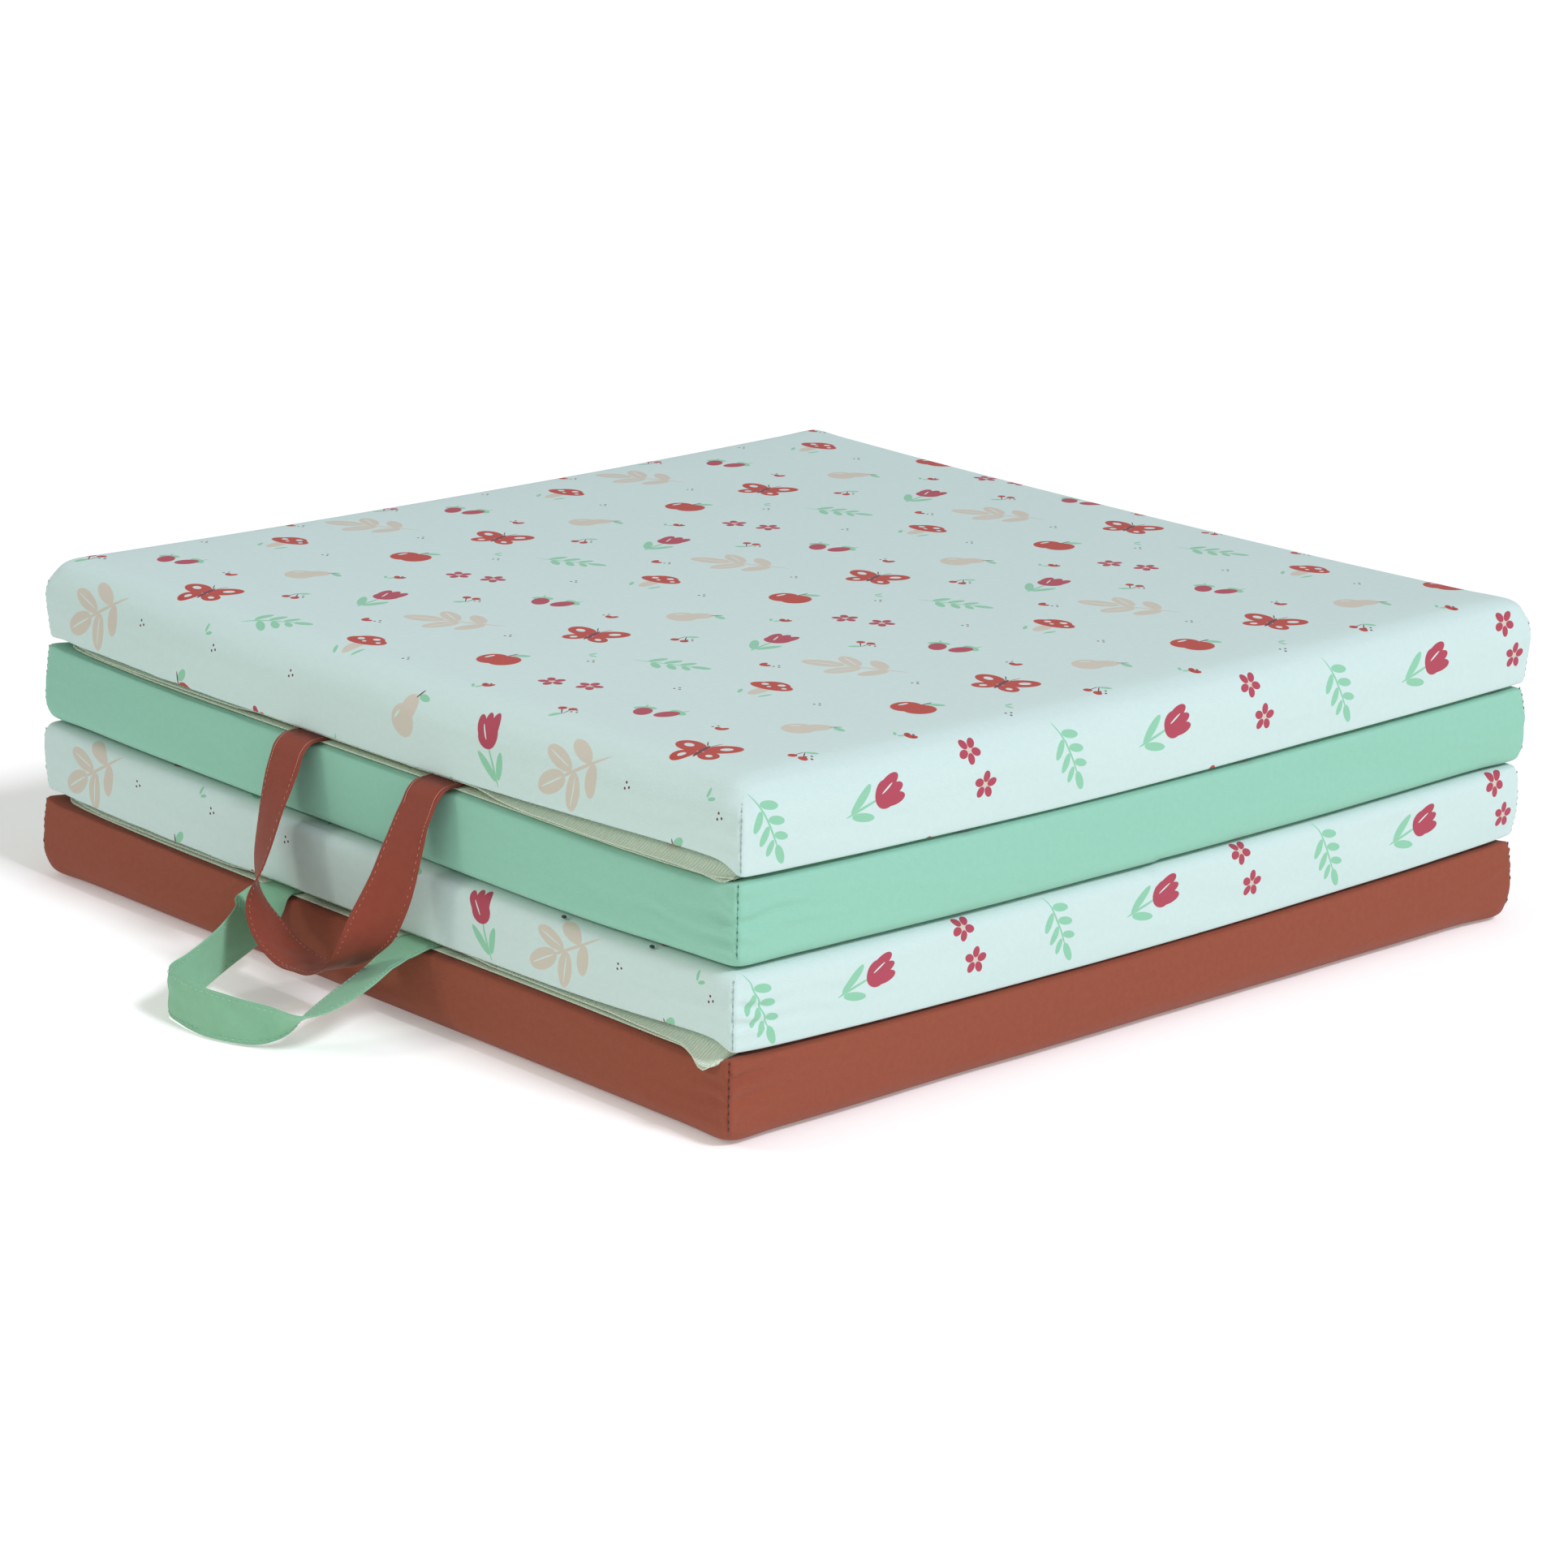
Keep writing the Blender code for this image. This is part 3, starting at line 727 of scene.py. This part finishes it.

# %% [markdown]
# A corner seam shows a row of stitches in a fine crease. The corners are wrinkled by now, so a ray is sent at
# each corner from outside, at every height where a stitch belongs, and the stitch is laid where the ray meets
# the cloth. A second row of longer, thinner and closer dashes lies in the crease in a darker colour. It is
# painted shade: a dark line where the crease is shaded.

# %% Stitches down the corner seams, and a line of painted shade in each crease
SEAM_PITCH, CREASE_SHADE_PITCH = 0.0038, 0.0015
SEAM_DASH, CREASE_SHADE_DASH = (0.0026, 0.0008, 0.0010), (0.0030, 0.0005, 0.0003)
FIRST_RISE, CROWN_LEFT = 0.0015, 0.65
OUTSIDE, SINK, LEAN = 0.4, 0.0001, 0.12
CORNERS = ((1, -1), (-1, -1), (1, 1), (-1, 1))


def corner_places(piece, facts, pitch):
    """Points down the four corners of a cover, one every pitch."""
    tree = BVHTree.FromObject(piece, bpy.context.evaluated_depsgraph_get())
    places = []
    for side_x, side_y in CORNERS:
        inward = Vector((-side_x, -side_y, 0)).normalized()
        rise = FIRST_RISE
        while rise < facts["height"] - facts["round"] * CROWN_LEFT:
            level = facts["base"] + facts["sign"] * rise
            level += corner_lift(HALF, HALF, level)
            start = Vector((side_x * OUTSIDE + facts["slip"][0], side_y * OUTSIDE + facts["slip"][1], level))
            hit = tree.ray_cast(start, inward)[0]
            if hit is not None:
                places.append((hit - inward * SINK, Vector((0, 0, 1)) - inward * LEAN, -inward))
            rise += pitch
    return places


bpy.context.view_layer.update()
stitch_and_shade_dashes = {}
crease_shade_lines = {}
for panel_name, facts in PANELS.items():
    seam_name = panel_name.replace("_panel", "_seam")
    places = corner_places(covers[panel_name], facts, SEAM_PITCH)
    stitch_and_shade_dashes[panel_name] = lay_stitch_and_shade_dashes(seam_name, places, SEAM_DASH)
    # A darker line of dashes in the crease: painted shade, where the crease is shaded.
    shade_line = corner_places(covers[panel_name], facts, CREASE_SHADE_PITCH)
    crease_shade_lines[panel_name] = lay_stitch_and_shade_dashes(seam_name + "_line", shade_line, CREASE_SHADE_DASH)
    print(seam_name, len(places), "stitches")

# %% [markdown]
# Topstitching holds a strap's hems flat. It runs along both edges and shows on both faces, so the
# dashes follow the strap's own path at a fixed way from its edges.

# %% Stitches along the straps
STRAP_PITCH = 0.0030
STRAP_DASH = (0.0023, 0.00042, 0.0004)
FACE_OUT = 0.00058


def strap_places(centres, widths):
    """Points along both edges of both faces of a strap."""
    length = path_length(centres)
    steps = int(length / STRAP_PITCH)
    places = []
    for step in range(steps):
        share = (step + 0.5) / steps
        centre, width, face, way = strap_frame(centres, widths, share)
        for edge in (-1, 1):
            for side in (-1, 1):
                point = centre + width * edge * (STRAP_WIDTH / 2 - HEM_STITCH) + face * side * FACE_OUT
                places.append((point, way, face * side))
    return places


for part_name, (strap_name, centres, widths, seed) in STRAPS.items():
    stitch_and_shade_dashes[part_name] = lay_stitch_and_shade_dashes(strap_name + "_stitches", strap_places(centres, widths), STRAP_DASH)
    print(stitch_and_shade_dashes[part_name].name, faces_of(stitch_and_shade_dashes[part_name]))

# %% [markdown]
# Panels 2 and 3 are sewn together too, and how they are sewn doesn't show. Two nearly black spots in the
# joint on the handle side are painted shade, for two small notches there.

# %% Two spots of painted shade in the joint
# Places of the two spots of painted shade in the joint, along x and up.
JOINT_SHADE_SPOTS = ((0.166, 0.0878), (0.235, 0.0892))
JOINT_Y = -0.2950
JOINT_SHADE_SIZE = (0.0040, 0.0020, 0.0022)
joint_shade_places = [(Vector((x, JOINT_Y, level)), Vector((1, 0, 0.1)), Vector((0, -1, 0)))
                for x, level in JOINT_SHADE_SPOTS]
stitch_and_shade_dashes["joint"] = lay_stitch_and_shade_dashes("joint_stitches", joint_shade_places, JOINT_SHADE_SIZE)
print("joint stitches", len(JOINT_SHADE_SPOTS))

# %% [markdown]
# Cotton is matt, with a soft sheen at grazing angles and a fine weave. One recipe makes every
# plain cloth: a colour that drifts a little, a weave bump on the UV map and some sheen.

# %% Colours and plain cotton
BANDS_PER_SCALE = 3.18


def colour(code):
    """A colour in Blender's linear values from a plain colour code."""
    values = [int(code[start:start + 2], 16) / 255 for start in (1, 3, 5)]
    return (*[value / 12.92 if value <= 0.04045 else ((value + 0.055) / 1.055) ** 2.4 for value in values], 1)


def new_material(name, roughness):
    """A plain material and its main shader."""
    material = bpy.data.materials.new(name)
    material.use_nodes = True
    shader = material.node_tree.nodes["Principled BSDF"]
    shader.inputs["Roughness"].default_value = roughness
    return material, shader


def node(tree, kind, inputs, **settings):
    """A shader node. Each input gets a value, or a link from another node's output."""
    made = tree.nodes.new(kind)
    for name, value in settings.items():
        setattr(made, name, value)
    for name, value in inputs.items():
        if isinstance(value, bpy.types.NodeSocket):
            tree.links.new(value, made.inputs[name])
        else:
            made.inputs[name].default_value = value
    return made


def weave(tree, shader, pitch, strength, depth, ribs):
    """A plain weave, or ribs one way only, on the piece's own UV map, as a bump."""
    place = node(tree, "ShaderNodeUVMap", {}, uv_map="cloth")
    threads = []
    for turn in ("X", "X" if ribs else "Y"):
        looks = {"Scale": 1 / pitch / BANDS_PER_SCALE, "Distortion": 1.5, "Detail": 1, "Detail Scale": 3,
                 "Vector": place.outputs["UV"]}
        wave = node(tree, "ShaderNodeTexWave", looks, wave_type="BANDS", bands_direction=turn,
                    wave_profile="SIN")
        threads.append(wave.outputs["Fac"])
    both = node(tree, "ShaderNodeMath", {0: threads[0], 1: threads[1]}, operation="ADD")
    bump = node(tree, "ShaderNodeBump", {"Strength": strength, "Distance": depth, "Height": both.outputs[0]})
    tree.links.new(bump.outputs["Normal"], shader.inputs["Normal"])
    return place


def plain_cotton(name, code, drift_code, sheen=0.16, pitch=0.0007, strength=0.25, depth=0.0002, ribs=False):
    """A plain cotton cloth whose colour drifts a little."""
    material, shader = new_material(name, roughness=0.85)
    tree = material.node_tree
    shader.inputs["Sheen Weight"].default_value = sheen
    shader.inputs["Sheen Roughness"].default_value = 0.4
    shader.inputs["Specular IOR Level"].default_value = 0.25
    place = weave(tree, shader, pitch, strength, depth, ribs)
    drift = node(tree, "ShaderNodeTexNoise", {"Scale": 260, "Detail": 6, "Vector": place.outputs["UV"]})
    colours = {"A": colour(code), "B": colour(drift_code), "Factor": drift.outputs["Fac"]}
    mix = node(tree, "ShaderNodeMix", colours, data_type="RGBA")
    tree.links.new(mix.outputs["Result"], shader.inputs["Base Color"])
    return material


mint_cotton = plain_cotton("mint cotton", "#93CAB3", "#8BC4AB")
rust_cotton = plain_cotton("rust cotton", "#96503A", "#8A4733", sheen=0.12)
sage_rib = plain_cotton("sage ribbed cloth", "#E4F1DC", "#DAE9D1", pitch=0.0021, strength=0.6,
                        depth=0.0008, ribs=True)
rust_tape = plain_cotton("rust strap cotton", "#8C4433", "#813D2C")
mint_tape = plain_cotton("mint strap cotton", "#8ABF9C", "#80B592")
print("materials so far", len(bpy.data.materials))

# %% [markdown]
# The printed cotton is covered with small motifs: butterflies, tulips, leaf sprigs, fruit,
# mushrooms, acorns and dots. A print like this is one tile that repeats, each column of tiles
# dropped by half, so that the repeat is hard to see. Every motif is drawn from a few ellipses. An
# ellipse is a point's distance from its middle after the point is moved, turned and scaled, so a
# Mapping node and a length are enough, and it stays sharp at any size. The tile lies on the UV
# map, so the print goes over the edges as it does on real cloth.

# %% Motifs, drawn in millimetres
BUTTERFLY = (
    ("terracotta", -9, 6, 10.5, 7, 145), ("terracotta", 9, 6, 10.5, 7, 35),
    ("terracotta", -7, -6.5, 7, 5.2, 35), ("terracotta", 7, -6.5, 7, 5.2, 145),
    ("dark", 0, 0, 1.3, 9.5, 0), ("dark", -2.6, 12, 0.35, 4.2, 25), ("dark", 2.6, 12, 0.35, 4.2, -25),
    ("ground", -10.5, 7, 3.4, 2.3, 145), ("ground", 10.5, 7, 3.4, 2.3, 35),
    ("ground", -7.5, -7, 2.2, 1.7, 35), ("ground", 7.5, -7, 2.2, 1.7, 145),
)
TULIP = (
    ("green", 0, -9, 0.8, 12, 0), ("green", -5, -9, 2.6, 9.5, 28), ("green", 5, -10, 2.4, 8, -28),
    ("raspberry", 0, 7, 7.6, 7.5, 0), ("raspberry", -4.6, 11, 3.4, 8, 10),
    ("raspberry", 4.6, 11, 3.4, 8, -10), ("raspberry", 0, 12, 3.2, 7.5, 0),
    ("ground", -2.4, 9, 0.5, 4.5, 14),
)
SPRIG = (
    ("green", 0, 0, 0.6, 19, 0), ("green", 0, 20, 2.5, 5.8, 0),
    ("green", -5.4, -7, 2.4, 5.8, 52), ("green", 5.4, -4, 2.4, 5.8, -52),
    ("green", -5.0, 2, 2.3, 5.4, 50), ("green", 5.0, 5, 2.3, 5.4, -50),
    ("green", -4.2, 11, 2.1, 4.8, 46), ("green", 4.2, 13, 2.0, 4.4, -46),
)
BIG_SPRIG = (
    ("beige", 0, -6, 0.9, 24, 0), ("beige", 0, 19, 6.0, 12, 0),
    ("beige", -9.5, 5, 5.2, 11, 48), ("beige", 9.5, 7, 5.2, 11, -48),
    ("beige", -8.5, -12, 4.4, 9.5, 52), ("beige", 8.5, -10, 4.4, 9.5, -52),
    ("ground", 0, 19, 0.5, 9.5, 0), ("ground", -9.5, 5, 0.45, 8.5, 48), ("ground", 9.5, 7, 0.45, 8.5, -48),
)
APPLE = (
    ("terracotta", -4, 0, 8.4, 9.6, 8), ("terracotta", 4, 0, 8.4, 9.6, -8),
    ("dark", 1, 11.5, 0.6, 4, -14), ("green", 6, 13, 4.8, 2.3, 24), ("ground", -8, 3, 1.0, 3.4, -16),
)
PEAR = (
    ("beige", 0, -5, 9.4, 9, 0), ("beige", 0, 4, 6, 8.5, 0), ("dark", 0.6, 14.5, 0.5, 3.4, -10),
    ("green", 5, 15, 4.4, 2, 22), ("ground", -5.6, -5, 0.8, 3.2, -12),
)
MUSHROOM = (
    ("beige", 0, -7, 4.0, 9, 0), ("terracotta", 0, 4, 13, 6.6, 0), ("terracotta", 0, 6, 9.5, 7.5, 0),
    ("ground", -5.6, 6, 2.1, 1.7, 10), ("ground", 3.2, 8.6, 2.3, 1.8, 0), ("ground", 8, 4, 1.5, 1.3, 0),
    ("ground", -1, 3, 1.3, 1.1, 0), ("green", 8, -13, 1.2, 4.5, -20), ("green", -8, -13, 1.2, 4, 24),
)
ACORN = (
    ("raspberry", 0, -3, 5, 7.4, 0), ("green", 0, 3.6, 6.2, 3.3, 0), ("green", 0, 8, 0.6, 2.6, 0),
)
DAISY = tuple(
    ("raspberry", 4.6 * cos(radians(72 * petal)), 4.6 * sin(radians(72 * petal)), 3.1, 2.3, 72 * petal)
    for petal in range(5)
) + (("beige", 0, 0, 2.4, 2.4, 0),)
BERRIES = (
    ("terracotta", -3, -3.5, 2.5, 2.5, 0), ("terracotta", 3, -4.5, 2.5, 2.5, 0),
    ("dark", -1.4, 1, 0.35, 4, -18), ("dark", 1.6, 0.6, 0.35, 4.4, 18), ("green", 3.5, 5.5, 3.6, 1.6, 20),
)
HEART = (
    ("terracotta", -1.35, 0.4, 1.9, 3.2, 38), ("terracotta", 1.35, 0.4, 1.9, 3.2, -38),
)
LEAF_PAIR = (
    ("green", -2.1, 0, 1.0, 2.6, 35), ("green", 2.1, 0, 1.0, 2.6, -35),
)
DOTS = (
    ("dark", 0, 1.7, 0.75, 0.75, 0), ("dark", -1.6, -1.2, 0.75, 0.75, 0), ("dark", 1.7, -1, 0.75, 0.75, 0),
)
print("ellipses in a butterfly", len(BUTTERFLY))

# %% [markdown]
# The tile is 210 mm wide. Its motifs stand in rows of three with small ones between them, each
# turned its own way. A group of three dots repeats faster, in a small cell of its own.

# %% Where the motifs stand in the tile, in millimetres and degrees
TILE = 0.210
TILE_MOTIFS = (
    (BUTTERFLY, 34, 38, 22), (SPRIG, 104, 31, -64), (MUSHROOM, 174, 40, 12),
    (PEAR, 36, 108, -28), (TULIP, 106, 104, 16), (BIG_SPRIG, 172, 106, 118),
    (APPLE, 40, 178, 14), (DAISY, 92, 172, 0), (DAISY, 112, 181, 30), (ACORN, 166, 172, 38),
    (ACORN, 181, 178, -12), (BERRIES, 70, 72, 24), (HEART, 138, 70, -20), (BERRIES, 140, 141, -150),
    (HEART, 10, 72, 30), (LEAF_PAIR, 71, 138, 15), (LEAF_PAIR, 66, 12, -40), (HEART, 75, 142, 15),
)
CELL = 0.070
CELL_MOTIFS = ((DOTS, 5, 3.5, 15),)
print("ellipses in the tile", sum(len(motif) for motif, x, y, turn in TILE_MOTIFS))

# %% [markdown]
# A row of nodes reads how far a place on the cloth is from the nearest ellipse of one ink. All
# ellipses at once would need more working memory than the renderer has for one material, so each
# one waits for the reading of the one before.

# %% Read the nearest ellipse
FAR = 1000000


def nearest_ellipse(tree, place, motifs, ink):
    """A reading that is under 1 inside any ellipse of one ink. The reading so far goes in as the
    height, which is scaled away, so that the renderer works through one ellipse at a time."""
    nearest = None
    for motif, left, bottom, turn in motifs:
        for own_ink, x, y, wide, high, own_turn in motif:
            if own_ink != ink:
                continue
            angle = radians(turn)
            middle = ((left + x * cos(angle) - y * sin(angle)) / 1000,
                      (bottom + x * sin(angle) + y * cos(angle)) / 1000, 0)
            here = node(tree, "ShaderNodeCombineXYZ", {"X": place[0], "Y": place[1]})
            spot = node(tree, "ShaderNodeMapping", {
                "Vector": here.outputs[0], "Location": middle, "Rotation": (0, 0, angle + radians(own_turn)),
                "Scale": (wide / 1000, high / 1000, FAR)}, vector_type="TEXTURE")
            reach = node(tree, "ShaderNodeVectorMath", {0: spot.outputs["Vector"]}, operation="LENGTH")
            if nearest is None:
                nearest = reach.outputs["Value"]
                continue
            tree.links.new(nearest, here.inputs["Z"])
            least = node(tree, "ShaderNodeMath", {0: nearest, 1: reach.outputs["Value"]}, operation="MINIMUM")
            nearest = least.outputs[0]
    return nearest


def wrap(tree, place, size):
    """Repeats a place every size, in both directions."""
    limits = {0: place, 1: (size, size, 1), 2: (0, 0, -1)}
    around = node(tree, "ShaderNodeVectorMath", limits, operation="WRAP")
    split = node(tree, "ShaderNodeSeparateXYZ", {0: around.outputs["Vector"]})
    return split.outputs["X"], split.outputs["Y"]


print("motifs in the tile", len(TILE_MOTIFS))

# %% [markdown]
# The print lies over the plain cotton, one ink after another. The ground ink comes late, because
# it paints small gaps into a motif in the cloth's own colour, and the dark lines come last.

# %% Printed cotton
INK_EDGE = (1.03, 0.97)
INKS = (
    ("beige", "#C9C4B4"), ("green", "#8CC8A6"), ("terracotta", "#B4463C"), ("raspberry", "#AC4858"),
    ("ground", "#C9DFD9"), ("dark", "#6A4046"),
)


def printed_cotton(name, ground_code, drift_code):
    """Pale cotton with the repeating print."""
    material = plain_cotton(name, ground_code, drift_code)
    tree = material.node_tree
    shader = tree.nodes["Principled BSDF"]
    flat = next(made for made in tree.nodes if made.bl_idname == "ShaderNodeUVMap")
    split = node(tree, "ShaderNodeSeparateXYZ", {0: flat.outputs["UV"]})
    column = node(tree, "ShaderNodeMath", {0: split.outputs["X"], 1: TILE}, operation="DIVIDE")
    whole = node(tree, "ShaderNodeMath", {0: column.outputs[0]}, operation="FLOOR")
    half_down = {0: whole.outputs[0], 1: TILE / 2, 2: split.outputs["Y"]}
    drop = node(tree, "ShaderNodeMath", half_down, operation="MULTIPLY_ADD")
    dropped = node(tree, "ShaderNodeCombineXYZ", {"X": split.outputs["X"], "Y": drop.outputs[0]})
    tile_place = wrap(tree, dropped.outputs[0], TILE)
    cell_place = wrap(tree, dropped.outputs[0], CELL)
    cloth = shader.inputs["Base Color"].links[0].from_socket
    for ink, code in INKS:
        reading = nearest_ellipse(tree, tile_place, TILE_MOTIFS, ink)
        if ink == "dark":
            dots = nearest_ellipse(tree, cell_place, CELL_MOTIFS, ink)
            reading = node(tree, "ShaderNodeMath", {0: reading, 1: dots}, operation="MINIMUM").outputs[0]
        edge = {"Value": reading, "From Min": INK_EDGE[0], "From Max": INK_EDGE[1]}
        inside = node(tree, "ShaderNodeMapRange", edge)
        colours = {"A": cloth, "B": colour(code), "Factor": inside.outputs["Result"]}
        cloth = node(tree, "ShaderNodeMix", colours, data_type="RGBA").outputs["Result"]
    tree.links.new(cloth, shader.inputs["Base Color"])
    return material


pale_print = printed_cotton("printed cotton", "#CBE1DB", "#C4DBD5")
print("nodes in the print", len(pale_print.node_tree.nodes))

# %% [markdown]
# Each dressed piece gets its cloth and smooth shading. It rides on the mat's one body and stands in for its
# solid, which is hidden. Its slot, the name of the finish that can be changed later, is only listed and
# printed.

# %% Dress the pieces in their cloths
CLOTHS = {
    "top_panel": (pale_print, "printed_cotton"), "second_panel": (mint_cotton, "mint_cotton"),
    "third_panel": (pale_print, "printed_cotton"), "bottom_panel": (rust_cotton, "rust_cotton"),
    "upper_base_cloth": (sage_rib, "ribbed_cloth"), "lower_base_cloth": (sage_rib, "ribbed_cloth"),
    "upper_handle": (rust_tape, "rust_strap"), "lower_handle": (mint_tape, "mint_strap"),
}
SLOTS = {part_name: slot for part_name, (cloth, slot) in CLOTHS.items()}
SLOTS["joint"] = "mint_cotton"
pieces = {**covers, **base_cloths, **handles}
for part_name, piece in pieces.items():
    piece.data.materials.clear()
    piece.data.materials.append(CLOTHS[part_name][0])
    pick(piece)
    bpy.ops.object.shade_smooth()
    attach(piece, "root")
    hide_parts(part_name)
    print(piece.name, SLOTS[part_name])

# %% [markdown]
# Sewing thread is smooth and a little glossier than cotton. A thread matches its cover but is darker, so that
# it shows. The line down each corner crease is painted shade, in a colour between the thread and the cover.
# The two spots in the joint are painted shade too, nearly black. Both use the same smooth material as the
# thread. Only the straps are topstitched in a paler thread.

# %% Thread the stitches and colour the painted shade
def thread_and_shade_paint(name, code):
    """Plain sewing thread, also used as the material of painted shade."""
    material, shader = new_material(name, roughness=0.6)
    shader.inputs["Base Color"].default_value = colour(code)
    return material


# Thread colours, except the joint's, which is painted shade: nearly black, for the shade in two notches of
# the joint.
THREAD_AND_SHADE_COLOURS = {
    "joint": "#1D2F33", "top_panel": "#93A9A2", "second_panel": "#356F5C", "third_panel": "#93A9A2",
    "bottom_panel": "#35130D", "upper_handle": "#BC8371", "lower_handle": "#A9D0BC",
}
# Painted shade for the dark line down each corner crease, between thread and cover in colour.
CREASE_SHADE_PAINT = {
    "top_panel": "#A6BCB5", "second_panel": "#66A68C", "third_panel": "#A6BCB5", "bottom_panel": "#6F3325",
}


def attach_thread_and_shade(parts, codes, kind):
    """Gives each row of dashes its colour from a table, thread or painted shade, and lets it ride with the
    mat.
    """
    for part_name, piece in parts.items():
        piece.data.materials.clear()
        piece.data.materials.append(thread_and_shade_paint(part_name.replace("_", " ") + kind, codes[part_name]))
        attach(piece, "root")


attach_thread_and_shade(crease_shade_lines, CREASE_SHADE_PAINT, " crease")
attach_thread_and_shade(stitch_and_shade_dashes, THREAD_AND_SHADE_COLOURS, " thread")
print("thread and shade dashes", len(crease_shade_lines) + len(stitch_and_shade_dashes))

# %% [markdown]
# A program that handles the mat has to know what gives. The covers are padded and nearly full. A lining is a
# sheet folded once, and its flat size is two panel faces less a hem. A strap is a sheet too, as long as its
# path: the rust one hangs and the mint one lies. This script only counts the soft pieces.

# %% Count the soft pieces
print("soft pieces", len(pieces))

# %% [markdown]
# The mat is shown on a plain pale floor. The photo's ground is pure white, which no paint reaches
# in soft light, so the floor also glows a little.

# %% Floor
bpy.ops.object.select_all(action="DESELECT")
bpy.ops.mesh.primitive_plane_add(size=200, location=(0, 0, -0.0005))
floor = bpy.context.object
floor.name = "studio_floor"
floor_paint, floor_shader = new_material("floor paint", roughness=0.9)
floor_shader.inputs["Base Color"].default_value = (0.93, 0.93, 0.90, 1)
floor_shader.inputs["Emission Color"].default_value = (1, 1, 1, 1)
floor_shader.inputs["Emission Strength"].default_value = 0.23
floor.data.materials.append(floor_paint)
print("floor at", floor.location.z)

# %% [markdown]
# The camera looks at the front corner from about sixteen degrees above, with a long lens, so the
# stack's edges stay nearly parallel. Its place and angles were fitted to the photo from the
# stack's corners.

# %% Camera
CAMERA_PLACE = (2.0023, -1.8271, 0.8523)
LENS_PIXELS = 6031.2
IMAGE_PIXELS = 1932
camera_data = bpy.data.cameras.new("camera")
camera = add_object("camera", camera_data)
camera_data.sensor_width = 36
camera_data.lens = LENS_PIXELS / IMAGE_PIXELS * camera_data.sensor_width
azimuth, pitch_down, roll = radians(137.49), radians(16.146), radians(1.02)
look = Vector((cos(pitch_down) * cos(azimuth), cos(pitch_down) * sin(azimuth), -sin(pitch_down)))
level_right = look.cross(Vector((0, 0, 1))).normalized()
level_up = level_right.cross(look)
right = cos(roll) * level_right + sin(roll) * level_up
up = -sin(roll) * level_right + cos(roll) * level_up
facing = Matrix((right, up, -look)).transposed().to_4x4()
camera.matrix_world = Matrix.Translation(CAMERA_PLACE) @ facing
camera_data.clip_end = 100
bpy.context.scene.camera = camera
print("lens in mm", round(camera_data.lens, 1))

# %% [markdown]
# The right wall and the top are lit by a cool broad light, as from a window, and the handle side
# by a warm soft beam. A white world fills the shadows. The standard view keeps the colours of the
# cloths as they are written.

# %% Lights
def beam(name, place, target, size, watts, cone, tint):
    """A soft round beam that fades toward its rim."""
    data = bpy.data.lights.new(name, "SPOT")
    data.color = tint
    data.shadow_soft_size = size
    data.energy = watts
    data.spot_size = radians(cone)
    data.spot_blend = 1.0
    lamp = add_object(name, data)
    lamp.location = place
    lamp.rotation_euler = (Vector(target) - Vector(place)).to_track_quat("-Z", "Y").to_euler()


def sun(name, toward, strength, spread, tint):
    """Even light from one direction, as from a far window."""
    data = bpy.data.lights.new(name, "SUN")
    data.energy = strength
    data.angle = radians(spread)
    data.color = tint
    lamp = add_object(name, data)
    lamp.rotation_euler = Vector(toward).to_track_quat("Z", "Y").to_euler()


sun("window", toward=(0.70, 0.06, 0.70), strength=2.05, spread=12, tint=(0.90, 0.88, 1.0))
beam("fill", place=(-1.5, -2.6, 1.7), target=(0.34, -0.3, 0.1), size=0.42, watts=96, cone=26,
     tint=(1.0, 0.98, 0.88))
world = bpy.data.worlds.new("studio air")
world.use_nodes = True
world.node_tree.nodes["Background"].inputs["Color"].default_value = (1, 1, 1, 1)
world.node_tree.nodes["Background"].inputs["Strength"].default_value = 0.47
bpy.context.scene.world = world
bpy.context.scene.view_settings.view_transform = "Standard"
print("lights", len(bpy.data.lights))
